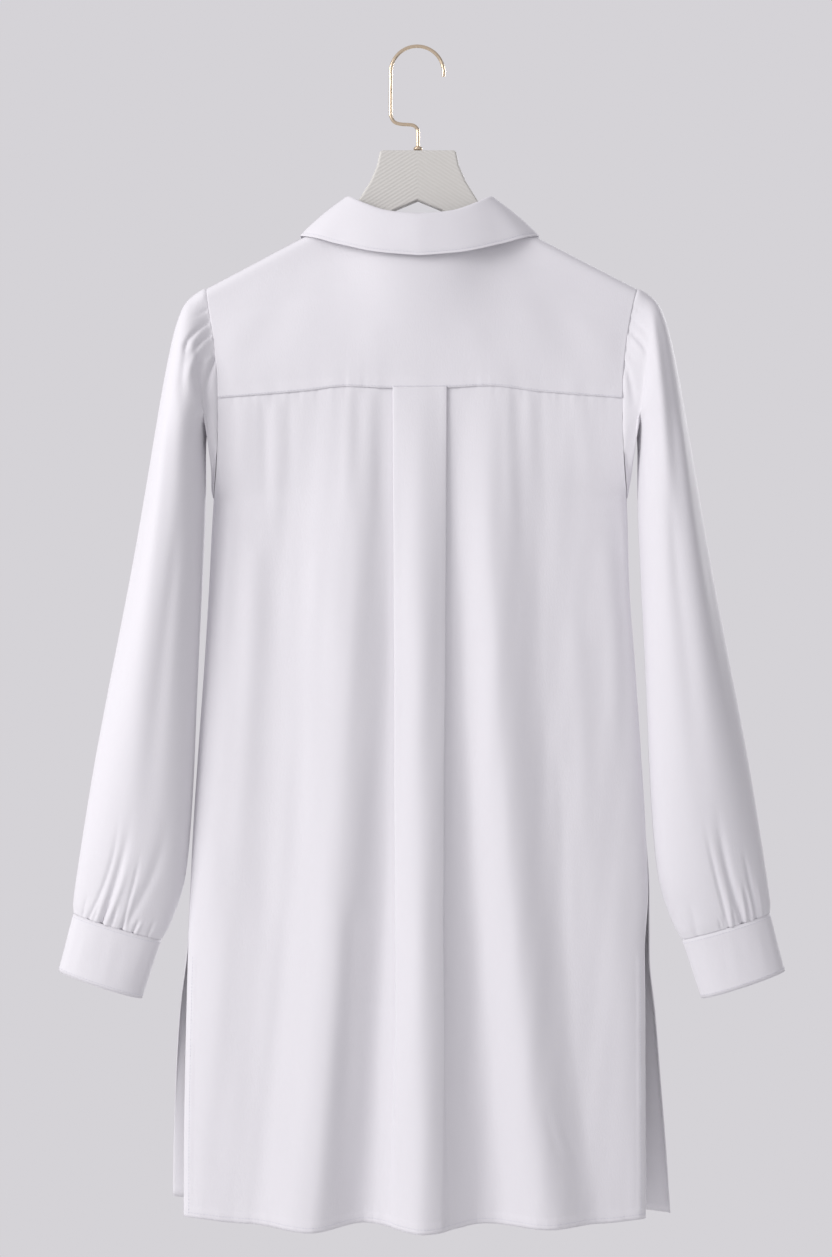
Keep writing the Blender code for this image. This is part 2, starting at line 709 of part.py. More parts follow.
def hanger_outline():
    """Half outline of the flat hanger, from the middle of its top to the middle of its notch."""
    top_half = [(0, -95.7), (32.5, -95.7), (34.9, -96.4), (35.8, -98.4)]
    flare = [(38.0, -109.7), (44.4, -124.6), (54.2, -140.3), (60, -149.5), (67, -159.0), (77, -166.5)]
    arm = [(110, -182.6), (150, -203.4), (178, -218.2), (186.5, -223.8)]
    end = [(189.2, -228.4), (188.4, -234.2), (184, -238.2), (178, -238.6)]
    under = [(150, -228.0), (110, -209.0), (75, -189.5), (48, -169.5), (22, -151.6), (0, -142.4)]
    return top_half + flare + arm + end + under


def hanger(finish):
    half = hanger_outline()
    ring = half + [(-x, z) for x, z in half[-2:0:-1]]
    plate = bmesh.new()
    front = [plate.verts.new((x * MM, -PLATE_THICKNESS / 2, z * MM)) for x, z in ring]
    face = plate.faces.new(front)
    made = bmesh.ops.extrude_face_region(plate, geom=[face])
    moved = [item for item in made["geom"] if isinstance(item, bmesh.types.BMVert)]
    bmesh.ops.translate(plate, vec=(0, PLATE_THICKNESS, 0), verts=moved)
    bmesh.ops.recalc_face_normals(plate, faces=plate.faces)
    mesh = bpy.data.meshes.new("hanger_plate")
    plate.to_mesh(mesh)
    plate.free()
    mesh.materials.append(finish)
    item = bpy.data.objects.new("hanger_plate", mesh)
    bpy.context.scene.collection.objects.link(item)
    edge = item.modifiers.new("Rounded edges", 'BEVEL')
    edge.width = 2.2 * MM
    edge.segments = 1
    edge.angle_limit = math.radians(50)
    return item


def hook_route():
    """The bent wire in the XZ plane: crown, straight side, jog under it and the stem."""
    centre_x = 0.8 * MM
    radius = 24.7 * MM
    centre_z = WIRE_RADIUS - radius
    route = []
    for degrees in range(-8, 189, 14):
        angle = math.radians(degrees)
        route.append((centre_x - math.cos(angle) * radius, centre_z + math.sin(angle) * radius))
    side_x = centre_x + radius
    route += [(side_x, -45 * MM), (side_x, -60 * MM)]
    for degrees in (20, 45, 70):
        angle = math.radians(degrees)
        route.append((side_x - 7 * MM * (1 - math.cos(angle)), (-60 - 10 * math.sin(angle)) * MM))
    route += [(16 * MM, -70.8 * MM), (8 * MM, -71.3 * MM)]
    for degrees in (25, 55, 80):
        angle = math.radians(degrees)
        route.append((7 * MM * (1 - math.sin(angle)), (-71.4 - 7 * (1 - math.cos(angle))) * MM))
    route += [(0, -84 * MM), (0, -95.3 * MM)]
    return route


def hook(finish):
    line = bpy.data.curves.new("hook", 'CURVE')
    line.dimensions = '3D'
    line.bevel_depth = WIRE_RADIUS
    line.bevel_resolution = 2
    line.use_fill_caps = True
    route = hook_route()
    spline = line.splines.new('POLY')
    spline.points.add(len(route) - 1)
    for place, (x, z) in zip(spline.points, route):
        place.co = (x, 0.0, z, 1.0)
    line.materials.append(finish)
    made = bpy.data.objects.new("hook", line)
    bpy.context.scene.collection.objects.link(made)
    return made


def hook_collar(finish):
    """The small turned bead round the stem where it enters the plate."""
    sides = 16
    profile = ((2.0, 0.0), (3.6, 0.0), (4.3, 1.4), (3.4, 3.0), (2.0, 3.6))
    ring = bmesh.new()
    rings = []
    for radius, height in profile:
        turn = []
        for i in range(sides):
            angle = 2 * math.pi * i / sides
            place = (radius * MM * math.cos(angle), radius * MM * math.sin(angle),
                     (-95.2 + height) * MM)
            turn.append(ring.verts.new(place))
        rings.append(turn)
    for low, high in zip(rings, rings[1:] + rings[:1]):
        for i in range(sides):
            k = (i + 1) % sides
            ring.faces.new((low[i], low[k], high[k], high[i]))
    bmesh.ops.recalc_face_normals(ring, faces=ring.faces)
    mesh = bpy.data.meshes.new("hook_collar")
    ring.to_mesh(mesh)
    ring.free()
    mesh.materials.append(finish)
    made = bpy.data.objects.new("hook_collar", mesh)
    bpy.context.scene.collection.objects.link(made)
    return made


def main():
    clear_scene()
    cloth = material("white_cloth", WHITE_CLOTH)
    shell = material("button_white", BUTTON_WHITE)
    paint = material("greige_paint", GREIGE_PAINT)
    metal = material("champagne_metal", CHAMPAGNE_METAL)
    back_yoke(cloth)
    back_panel(cloth)
    front_left(cloth)
    front_right(cloth)
    placket(cloth)
    sleeve("sleeve_left", 1, cloth)
    sleeve("sleeve_right", -1, cloth)
    cuff("cuff_left", 1, cloth)
    cuff("cuff_right", -1, cloth)
    collar_stand(cloth)
    collar_leaf(cloth)
    front_buttons(shell)
    cuff_button("cuff_button_left", 1, shell)
    cuff_button("cuff_button_right", -1, shell)
    hanger(paint)
    hook(metal)
    hook_collar(metal)


main()
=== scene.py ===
"""Render scene of the long white pleated shirt on its hanger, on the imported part's frame.

Same frame as the part: metres, +Z up, the shirt's back towards +Y, levels in millimetres down
from the shoulder tips. Each cloth piece is a thin shell on the part's own form with its creases.
"""
import math
from functools import lru_cache

import bpy
import numpy as np
from mathutils import Matrix, Vector

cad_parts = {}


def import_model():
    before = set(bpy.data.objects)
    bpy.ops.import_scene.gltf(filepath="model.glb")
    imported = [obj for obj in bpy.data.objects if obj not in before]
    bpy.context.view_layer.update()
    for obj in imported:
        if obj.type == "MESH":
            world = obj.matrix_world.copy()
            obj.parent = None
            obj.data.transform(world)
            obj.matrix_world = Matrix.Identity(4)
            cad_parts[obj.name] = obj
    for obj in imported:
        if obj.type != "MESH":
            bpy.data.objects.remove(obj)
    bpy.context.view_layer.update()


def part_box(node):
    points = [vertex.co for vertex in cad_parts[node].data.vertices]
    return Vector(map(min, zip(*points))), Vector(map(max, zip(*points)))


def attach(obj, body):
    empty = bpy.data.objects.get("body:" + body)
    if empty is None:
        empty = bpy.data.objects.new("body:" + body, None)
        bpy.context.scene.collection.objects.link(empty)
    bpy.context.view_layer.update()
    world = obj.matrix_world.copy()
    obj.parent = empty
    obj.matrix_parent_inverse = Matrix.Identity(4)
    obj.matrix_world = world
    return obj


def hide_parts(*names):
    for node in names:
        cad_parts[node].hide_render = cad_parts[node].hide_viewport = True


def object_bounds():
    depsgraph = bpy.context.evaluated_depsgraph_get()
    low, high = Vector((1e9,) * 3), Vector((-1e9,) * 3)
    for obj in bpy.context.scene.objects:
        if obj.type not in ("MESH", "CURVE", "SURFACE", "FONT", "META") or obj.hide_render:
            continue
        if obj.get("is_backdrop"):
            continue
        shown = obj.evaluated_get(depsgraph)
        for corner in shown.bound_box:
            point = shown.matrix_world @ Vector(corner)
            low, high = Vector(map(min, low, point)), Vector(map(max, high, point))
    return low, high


# Sizes given with MM are in metres, the other lengths in millimetres.
MM = 0.001
SHOULDER_TIP_Z = -0.2244
CLOTH = 0.9 * MM
YOKE_LEVEL = 101.0
UNDERARM_LEVEL = 195.0
HEM_LEVEL = 860.0
SHOULDER_ROUND = 9.0
SHOULDER_CLOSE = 0.55
YOKE_EDGE_DEPTH = 20.0
YOKE_OVER_PANEL = 0.85
LENS_POWER = 2.2
CENTRE_LINE_X = -1.5
SIDE_FADE = 0.08

PLEAT_FACE_LEFT = 23.0
PLEAT_FACE_RIGHT = -26.4
PLEAT_UNDERLAP = 22.0
PLEAT_HEIGHT = 2.8
PLEAT_LAP_END = 0.62
FACE_BOW = 0.3
RIPPLE_HEIGHT = 0.35
PUCKER_HEIGHT = 0.5
PUCKER_SCALE = 2.6
SLIT_START = 610
SLIT_STITCH_LEVEL = 622
HEM_WIDTH = 9.5
HEM_HEIGHT = 0.4

FRONT_OVERLAP = 15.0
OVERLAP_TURN = 165
FRONT_LAYER = 2.3
PLACKET_LAYER = 1.65
BAND_COLUMNS = 9
STAND_INSET = 1.1
SLEEVE_COLUMNS = 220
CUFF_COLUMNS = 110
CUFF_START = math.radians(-75)
CUFF_SWEEP = math.radians(392)
CUFF_LAP = 1.9

BUTTONS = 7
BUTTON_RADIUS = 5.5 * MM
BUTTON_THICKNESS = 2.2 * MM
BUTTON_RIM = 0.2 * BUTTON_RADIUS
BUTTON_SLOPE = 0.22 * BUTTON_RADIUS
BUTTON_SUNK = 0.4 * BUTTON_THICKNESS
BUTTON_ROUNDING = 0.45 * MM
BUTTON_GAP = 0.35 * MM
CUFF_BUTTON_GAP = 0.5 * MM
CUFF_BUTTON_TURN = math.radians(-55)

# Stitches: distance between two, on the collar too; half length, width and height of one.
STITCH_PITCH = 3.0
COLLAR_STITCH_PITCH = 2.8
STITCH_HALF_SIZE = (1.05 * MM, 0.26 * MM, 0.24 * MM)
SQUARE = ((-1, -1), (1, -1), (1, 1), (-1, 1))
BLOCK_FACES = ((3, 2, 1, 0), (4, 5, 6, 7), (0, 1, 5, 4), (1, 2, 6, 5), (2, 3, 7, 6), (3, 0, 4, 7))

WIRE_RADIUS = 1.65 * MM
PLATE_THICKNESS = 11 * MM
PLATE_ROUNDING = 2.2 * MM
BEAD_BOTTOM = -95.2
BEAD_SIDES = 48
GROOVE_PITCH = 0.0036
GROOVE_SLANT = 0.62

# Plate colour in the grooves' hollows and on their crests: painted shade and painted light of the
# grooves.
GROOVE_PAINTED_SHADE = (0.575, 0.56, 0.53, 1.0)
CREST_PAINTED_LIGHT = (0.615, 0.60, 0.575, 1.0)
SKY_SHADE = (0.24, 0.235, 0.245, 1.0)
SKY_TONE = (0.665, 0.65, 0.68, 1.0)

CAMERA_AT = (0.00184, 2.425, -0.5396)
CAMERA_HALF_HEIGHT = 0.5782 / 2.4
FLOOR_Z = -1.60
FLOOR_SIZE = 3.8
# Lights: name, place, height of what it points at, width, watts and colour.
LIGHTS = (
    ("key", (2.5, 1.65, 0.6), -0.55, 1.4, 64, (1.0, 0.99, 0.98)),
    ("fill", (-1.9, 2.5, 0.1), -0.6, 1.4, 7, (1, 1, 1)),
    ("front_side", (-1.9, -2.3, 0.5), -0.6, 1.2, 60, (1, 1, 1)),
)

# Side edges of the body: armhole down to the underarm, side seam down to the slits, then free edges
# of the back and of the front. Depths are those of the section's middle, behind and in front.
BODY_COLUMNS = ("level", "left", "right", "back", "front", "front_left", "front_right")
BODY = (
    (0, 196.5, -203.3, 22, 27, 196.5, -203.3),
    (15, 194.5, -199.3, 22, 28, 194.5, -199.3),
    (32, 191.6, -195.8, 22, 29, 191.6, -195.8),
    (50, 188.8, -192.7, 22.5, 29, 188.8, -192.7),
    (80, 185.4, -189.4, 23, 29, 185.4, -189.4),
    (120, 184.5, -188.5, 23.5, 29, 184.5, -188.5),
    (166, 186.2, -190.8, 24, 29, 186.2, -190.8),
    (195, 189.2, -193.4, 24.5, 29, 189.2, -193.4),
    (280, 193.8, -196.2, 26, 29, 193.8, -196.2),
    (350, 198.0, -201.4, 27, 30, 198.0, -201.4),
    (430, 203.6, -206.8, 28, 31, 203.6, -206.8),
    (500, 208.2, -211.1, 29, 31, 208.2, -211.1),
    (560, 211.2, -213.0, 30, 32, 211.2, -214.8),
    (616, 213.2, -209.6, 31, 32, 214.0, -214.8),
    (672, 214.4, -210.0, 32, 33, 221.6, -220.9),
    (731, 215.5, -210.0, 33, 34, 226.8, -226.0),
    (799, 216.3, -210.2, 34, 35, 230.2, -231.6),
    (860, 216.3, -210.4, 35, 36, 231.6, -235.8),
)

# Where each free edge of the slits stands, front to back.
EDGE_COLUMNS = ("level", "back_left", "back_right", "front_left", "front_right")
SLIT_EDGES = (
    (195, 0.5, 0.5, -0.5, -0.5),
    (500, 0.5, 0.5, -0.5, -0.5),
    (560, 0.5, 4.0, -0.5, -0.5),
    (616, 0.9, 8.5, -0.9, 2.5),
    (672, 5, 10, -12, -6),
    (731, 8, 11, -26, -11),
    (799, 11, 12, -37, -14),
    (860, 13, 12, -44, -16),
)

# Long folds: x and height out of the panel at the yoke, at two fifths and at the hem, and the
# hem's level there. Columns: x_top, x_mid, x_hem, out_top, out_mid, out_hem, hem.
BACK_FOLDS = (
    (200, 210, 217, 0, 0, 0, 858),
    (117, 116, 158, -0.5, -4, -2, 862),
    (59, 66, 99, 1.0, 5.5, 12, 867),
    (27, 27, 49, 0, -4.5, -12, 862),
    (-1.5, -3, -6, 0, 4, 14, 867),
    (-30, -42, -63, 0, -7, -13, 863),
    (-66, -77, -121, 1.0, 6, 10, 865),
    (-112, -119, -168, -0.5, -4, -4, 863),
    (-204, -212, -211, 0, 0, 0, 860),
)
FRONT_FOLDS = (
    (200, 210, 232, 0, 0, 0, 852),
    (150, 152, 160, 0, 3, 9, 859),
    (105, 108, 112, 0, -5, -13, 856),
    (60, 62, 66, 0, 5, 12, 862),
    (22, 22, 26, 0, -1, -5, 858),
    (0, 0, 0, 0, 0, 0, 860),
    (-24, -24, -30, 0, -1, -5, 858),
    (-66, -70, -76, 0, 6, 13, 862),
    (-112, -118, -128, 0, -5, -12, 857),
    (-158, -164, -178, 0, 3, 8, 860),
    (-204, -212, -236, 0, 0, 0, 862),
)

# Back yoke seam: x and level.
YOKE_SEAM_COLUMNS = ("x", "level")
YOKE_SEAM = (
    (-186, 102), (-112, 96.5), (-66, 91.5), (-27, 93), (23, 93.5), (67, 92), (104, 96), (182, 102),
)

# Half of the collar from the middle of the back to the middle of the front: the seam on the neck,
# the fold on top, and the leaf's outer edge. The last row is past the front edge, for the overlap.
COLLAR_COLUMNS = ("turn", "neck_x", "neck_y", "neck", "fold_x", "fold_y", "fold",
                  "edge_x", "edge_y", "edge")
COLLAR = (
    (0, 0, 27.0, -46.0, 0, 22.0, -66.0, 0, 34.0, -26.8),
    (25, 30, 25.0, -48.5, 29, 20.0, -69.5, 42, 31.0, -31.0),
    (50, 52, 18.5, -55.0, 50, 14.0, -77.5, 76, 22.0, -40.0),
    (72, 66, 9.0, -63.5, 62, 6.0, -84.0, 98, 13.0, -49.0),
    (90, 71, 0.0, -67.5, 65.3, -2.0, -85.4, 111.0, -2.0, -51.5),
    (110, 66, -14.0, -58.0, 61, -14.0, -81.0, 109, -21.0, -38.0),
    (135, 46, -31.0, -32.0, 43, -29.0, -58.0, 96, -37.0, -2.0),
    (160, 20, -41.0, -4.0, 19, -38.5, -30.0, 80, -44.0, 24.0),
    (180, 2, -43.5, 5.0, 2, -41.0, -20.0, 60, -48.0, 46.0),
    (196, -13, -42.1, 0.0, -13, -39.6, -25.8, 50, -50.0, 50.0),
)

# Rings of a sleeve below the armhole, and both ends of its cuff: outer and inner point from the
# centre line, each as x and level, then half the depth front to back.
SLEEVE_RINGS = (
    (212.0, 6.5, 193.6, 174, 24.5),
    (220.5, 16.5, 193.6, 153, 29.5),
    (228.0, 35, 194.4, 136, 34),
    (234.5, 62, 196.2, 127, 38),
    (240.5, 94, 199.6, 130, 41.5),
    (247.0, 134, 201.2, 151, 43),
    (256.0, 187, 201.4, 197, 44),
    (267.3, 251, 203.8, 261, 43),
    (279.0, 312, 206.6, 323, 41),
    (291.0, 374, 209.6, 387, 38),
    (303.3, 440, 212.6, 454, 35),
    (312.8, 496, 216.4, 512, 31),
    (318.6, 534, 221.5, 552, 27),
    (321.8, 560, 232.5, 584, 22),
    (323.2, 579.5, 242.2, 603.9, 17.6),
)
CUFF_TOP = (323.4, 580.2, 242.4, 604.6, 17.5)
CUFF_BOTTOM = (337.2, 633.0, 260.4, 658.6, 18.5)


def along(rows, names, key, wanted, value):
    """One column of a table as a smooth curve through its rows."""
    knots = np.array([row[names.index(key)] for row in rows], float)
    heights = np.array([row[names.index(wanted)] for row in rows], float)
    steps = np.diff(heights) / np.diff(knots)
    slopes = np.concatenate((steps[:1], (steps[1:] + steps[:-1]) / 2, steps[-1:]))
    turning = np.concatenate((steps[:1], steps)) * np.concatenate((steps, steps[-1:])) <= 0
    slopes[turning] = 0.0
    value = np.clip(value, min(knots), max(knots))
    i = np.clip(np.searchsorted(knots, value, side="right") - 1, 0, len(knots) - 2)
    span = knots[i + 1] - knots[i]
    t = (value - knots[i]) / span
    rise = heights[i + 1] - heights[i]
    bend = t * (1 - t) * ((1 - t) * (slopes[i] * span - rise) - t * (slopes[i + 1] * span - rise))
    return heights[i] + rise * t + bend


def ease(t):
    """A soft step from 0 to 1."""
    t = np.clip(t, 0.0, 1.0)
    return t * t * (3 - 2 * t)


def collar(wanted, turn):
    """A collar column at a turn from the middle of the back; x changes sign with the side."""
    side = -1 if turn < 0 else 1
    value = along(COLLAR, COLLAR_COLUMNS, "turn", wanted, abs(turn))
    return side * value if wanted.endswith("_x") else value


def point(x, y, level):
    """A place in the frame from millimetres and a level."""
    return (x * MM, y * MM, SHOULDER_TIP_Z - level * MM)


def armhole_depth(level):
    """How far the armhole stands behind or before the shoulder line."""
    if level >= YOKE_LEVEL:
        fall = min((level - YOKE_LEVEL) / (UNDERARM_LEVEL - YOKE_LEVEL), 1.0)
        return max(YOKE_EDGE_DEPTH * math.sqrt(1 - fall * fall), 0.5)
    share = ease(level / YOKE_LEVEL)
    return (0.7 + shoulder_turn(level)) * (1 - share) + YOKE_EDGE_DEPTH * share


def shoulder_turn(below):
    """Depth of the cloth as it turns over the hanger's arm."""
    rest = 1 - min(max(below, 0.0), SHOULDER_ROUND) / SHOULDER_ROUND
    return (SHOULDER_ROUND - 1) * math.sqrt(1 - rest * rest)


def lens(s, level, which):
    """Depth of the back (+) or front (-) across its width, s from -1 (right) to 1 (left)."""
    sign = 1 if which == "back" else -1
    middle = body(which, max(level, YOKE_LEVEL))
    if level < UNDERARM_LEVEL:
        edge = armhole_depth(max(level, YOKE_LEVEL))
        left = right = sign * edge
        reach = (1 - (edge / middle) ** LENS_POWER) ** (1 / LENS_POWER)
    else:
        left = slit_edge(which + "_left", level)
        right = slit_edge(which + "_right", level)
        reach = 1.0
    floor = (1 - reach ** LENS_POWER) ** (1 / LENS_POWER)
    crown = (max(1 - (reach * abs(s)) ** LENS_POWER, 0.0)) ** (1 / LENS_POWER)
    share = (crown - floor) / (1 - floor)
    flat = left * (1 + s) / 2 + right * (1 - s) / 2
    return flat * (1 - share) + sign * middle * share


def fold(folds, x, level):
    """Height of the long folds and the hem's level at x, from one fold line to the next."""
    v = min(max((level - YOKE_LEVEL) / (HEM_LEVEL - YOKE_LEVEL), 0.0), 1.0)
    lines = []
    for x_top, x_mid, x_hem, out_top, out_mid, out_hem, hem in folds:
        shares = ((v - 0.4) * (v - 1) / 0.4, v * (v - 1) / -0.24, v * (v - 0.4) / 0.6)
        place = shares[0] * x_top + shares[1] * x_mid + shares[2] * x_hem
        if v < 0.4:
            out = out_top + (out_mid - out_top) * ease((v / 0.4) ** 0.6)
        else:
            out = out_mid + (out_hem - out_mid) * ((v - 0.4) / 0.6) ** 1.2
        lines.append((place, out, hem))
    lines.sort()
    x = min(max(x, lines[0][0]), lines[-1][0])
    for low, high in zip(lines, lines[1:]):
        if x <= high[0]:
            t = ease((x - low[0]) / (high[0] - low[0]))
            return low[1] + (high[1] - low[1]) * t, low[2] + (high[2] - low[2]) * t
    return lines[-1][1], lines[-1][2]


def width_place(x, level, front=False):
    """x as a share of the width at this level, -1 at the right edge and 1 at the left."""
    left, right = edges(level, front)
    return (2 * x - left - right) / (left - right)


def edges(level, front=False):
    """Left and right edge of the back or of the front at a level."""
    if front:
        return body("front_left", level), body("front_right", level)
    return body("left", level), body("right", level)


def from_share(s, level, front=False):
    """x of a share of the width, the other way round."""
    left, right = edges(level, front)
    return (left + right) / 2 + s * (left - right) / 2


def yoke_seam(x):
    """Level of the seam below the back yoke."""
    return along(YOKE_SEAM, YOKE_SEAM_COLUMNS, "x", "level", x)


def top_line(steps_shoulder, turns, side):
    """Points of a panel's top edge on one side: along the shoulder, then round the neck."""
    tip = body("left" if side > 0 else "right", 0)
    neck_x = CENTRE_LINE_X + side * collar("neck_x", 90)
    line = []
    for t in steps_shoulder:
        x = tip + (neck_x - tip) * t
        line.append((x, 0.7, collar("neck", 90) * t, 1.0))
    for turn in turns:
        x = CENTRE_LINE_X + side * collar("neck_x", turn)
        near = ease(1 - abs(turn - 90) / 30)
        line.append((x, abs(collar("neck_y", turn)) + 0.7 * near, collar("neck", turn), near))
    return line


def upper_depth(top, level, deep, v):
    """Depth between the top edge and the yoke's level: over the hanger, then as the body."""
    y_top, level_top, shoulder = top[1:]
    share = ease(v)
    turned = shoulder_turn(level - level_top) * shoulder
    return (y_top + turned) * (1 - share) + deep * share


def armhole(turn, side):
    """Point of the armhole seam; turn 0 at the shoulder tip, 180 at the underarm, behind first."""
    level = UNDERARM_LEVEL / 2 * (1 - math.cos(turn))
    x = body("left" if side > 0 else "right", level)
    depth = armhole_depth(level) if 0 < level < UNDERARM_LEVEL else 0.0
    return x, depth * (1 if math.sin(turn) >= 0 else -1), level


def oval(out_x, out, in_x, inner, half, turn, lift, side):
    """Point of a ring between its outer and inner point, pushed out by lift."""
    mid_x = (out_x + in_x) / 2
    mid = (out + inner) / 2
    reach = math.hypot(out_x - in_x, out - inner) / 2
    along_x = (out_x - in_x) / 2 / reach
    along_level = (out - inner) / 2 / reach
    c = math.cos(turn)
    s = math.sin(turn)
    x = mid_x + (reach * c + lift * c) * along_x
    level = mid + (reach * c + lift * c) * along_level
    y = (half + lift) * s
    return point(CENTRE_LINE_X - 2 + side * x, y, level)


def hanger_outline():
    """Half outline of the flat hanger, from the middle of its top to the middle of its notch."""
    top_half = [(0, -95.7), (32.5, -95.7), (34.9, -96.4), (35.8, -98.4)]
    flare = [(38.0, -109.7), (44.4, -124.6), (54.2, -140.3), (60, -149.5), (67, -159.0),
             (77, -166.5)]
    arm = [(110, -182.6), (150, -203.4), (178, -218.2), (186.5, -223.8)]
    end = [(189.2, -228.4), (188.4, -234.2), (184, -238.2), (178, -238.6)]
    under = [(150, -228.0), (110, -209.0), (75, -189.5), (48, -169.5), (22, -151.6), (0, -142.4)]
    return top_half + flare + arm + end + under


def hook_route():
    """The bent wire in the XZ plane: crown, straight side, jog under it and the stem."""
    centre_x = 0.8 * MM
    radius = 24.7 * MM
    centre_z = WIRE_RADIUS - radius
    route = []
    for degrees in range(-8, 189, 14):
        angle = math.radians(degrees)
        route.append((centre_x - math.cos(angle) * radius, centre_z + math.sin(angle) * radius))
    side_x = centre_x + radius
    route += [(side_x, -45 * MM), (side_x, -60 * MM)]
    for degrees in (20, 45, 70):
        angle = math.radians(degrees)
        route.append((side_x - 7 * MM * (1 - math.cos(angle)), (-60 - 10 * math.sin(angle)) * MM))
    route += [(16 * MM, -70.8 * MM), (8 * MM, -71.3 * MM)]
    for degrees in (25, 55, 80):
        angle = math.radians(degrees)
        route.append((7 * MM * (1 - math.sin(angle)), (-71.4 - 7 * (1 - math.cos(angle))) * MM))
    route += [(0, -84 * MM), (0, -95.3 * MM)]
    return route


# Creases of the back panel, each a soft line between two points: x and level at both ends, half
# width and height out (below 0 for a trough), all in mm. The first ones start in the yoke seam.
BACK_CREASES = (
    (142, 96, 139, 230, 5.0, -0.5),
    (131, 96, 130, 290, 6.5, 0.65),
    (119, 96, 117, 210, 5.0, -0.5),
    (64, 92, 67, 240, 5.5, 0.6),
    (54, 92, 56, 200, 4.5, -0.55),
    (45, 92, 43, 270, 6.0, 0.6),
    (35, 92, 35, 230, 5.0, -0.5),
    (-82, 92, -84, 240, 5.0, 0.6),
    (-92, 93, -96, 280, 5.5, -0.6),
    (-103, 94, -105, 210, 5.0, 0.5),
    (-114, 95, -118, 260, 5.5, -0.5),
    (-150, 98, -156, 190, 8.0, 0.8),
    (160, 98, 166, 210, 8.0, 0.8),
    (181, 200, 196, 420, 5.0, -1.2),
    (172, 190, 184, 380, 7.0, 1.2),
    (150, 230, 163, 470, 9.0, 0.9),
    (92, 240, 104, 560, 8.0, 0.8),
    (-186, 205, -198, 400, 5.0, -1.0),
    (-176, 230, -187, 480, 8.0, 1.1),
    (-146, 300, -160, 620, 10.0, 1.1),
    (-129, 420, -140, 700, 7.0, -0.9),
    (-62, 330, -70, 620, 7.0, 0.7),
    (-188, 520, -192, 790, 12.0, 0.7),
    (184, 500, 187, 800, 13.0, 0.7),
    (121, 150, 162, 850, 17.0, -2.6),
    (137, 560, 143, 850, 15.0, 0.6),
    (60, 560, 72, 850, 8.0, -1.1),
    (-116, 752, -132, 800, 3.6, -0.5),
    (-122, 762, -142, 806, 3.0, 0.5),
    (-134, 772, -148, 812, 3.4, -0.4),
)
YOKE_CREASES = (
    (150, 20, 178, 74, 16.0, 0.6),
    (120, 0, 158, 92, 20.0, -0.7),
    (84, -30, 118, 70, 18.0, 0.6),
    (-150, 22, -180, 80, 16.0, 0.6),
    (-118, 2, -154, 95, 20.0, -0.7),
    (-82, -28, -120, 66, 18.0, 0.6),
    (40, 30, 46, 96, 14.0, 0.5),
    (-52, 30, -60, 96, 14.0, 0.5),
)
FRONT_CREASES = (
    (168, 40, 150, 190, 12.0, 1.1),
    (150, 30, 122, 210, 14.0, -1.1),
    (92, 10, 84, 240, 14.0, 0.9),
    (182, 200, 192, 430, 6.0, -1.2),
    (166, 210, 172, 520, 10.0, 1.2),
    (128, 320, 134, 640, 9.0, 0.9),
    (86, 420, 90, 760, 9.0, -1.0),
    (42, 240, 44, 560, 9.0, 0.7),
    (206, 640, 212, 850, 7.0, 1.1),
    (188, 600, 192, 850, 8.0, -1.0),
    (-172, 44, -154, 188, 12.0, 1.1),
    (-152, 34, -126, 214, 14.0, -1.0),
    (-96, 14, -90, 236, 14.0, 1.0),
    (-186, 205, -196, 410, 6.0, -1.1),
    (-170, 230, -178, 540, 10.0, 1.2),
    (-134, 360, -142, 660, 9.0, 1.0),
    (-92, 400, -98, 730, 9.0, -0.9),
    (-44, 260, -46, 600, 9.0, 0.8),
    (-206, 630, -214, 850, 7.0, 1.0),
    (-190, 610, -196, 850, 8.0, -1.1),
)

# Gathers as seen behind: three places of each from its seam to its end, as x and level in mm,
# then half width and height out.
CAP_GATHERS_LEFT = (
    (193.7, 18.4, 200.1, 23.5, 207, 29.4, 1.6, -1.2),
    (192.4, 22.1, 199.2, 26.7, 206.6, 32.6, 1.8, 1),
    (190.1, 29.4, 206.6, 43.2, 213.9, 66.5, 2.2, -2.4),
    (189.6, 31.7, 203.4, 46.8, 210.2, 63.8, 2, 1.6),
    (188.7, 42.2, 198.8, 49.6, 204.3, 61, 1.8, -2),
    (188.2, 44.5, 202.4, 61, 208.1, 97.7, 2.6, 2),
    (186.9, 56.9, 193.3, 63.8, 198.8, 70.2, 1.5, -1.3),
    (186.9, 61, 195.6, 74.8, 199.7, 88.5, 1.6, 1),
    (186.4, 61.9, 192.8, 82.1, 196.9, 115.1, 2.4, -3),
    (212.5, 55.5, 215.7, 83, 214.3, 128.8, 4.5, -1.8),
)
CAP_GATHERS_RIGHT = (
    (-199.2, 16.1, -203.4, 19.8, -208.8, 26.2, 1.8, -0.7),
    (-196.9, 30.3, -205.6, 36.7, -209.3, 49.1, 2.4, -1),
    (-193.3, 39.5, -203.8, 49.1, -211.1, 68.3, 2, -1.9),
    (-193.3, 42.7, -202.4, 53.7, -207, 71.1, 2.4, 1),
    (-191, 55.5, -195.1, 62.4, -201.1, 72.9, 1.6, -0.9),
    (-191.4, 72, -196.6, 92, -198.6, 120, 2.8, -1.8),
    (-217.1, 37.2, -223, 105.9, -229, 325.7, 4.2, 1.0),
    (-225.4, 46.4, -232.3, 115.1, -239.2, 325.7, 6, -1.0),
)
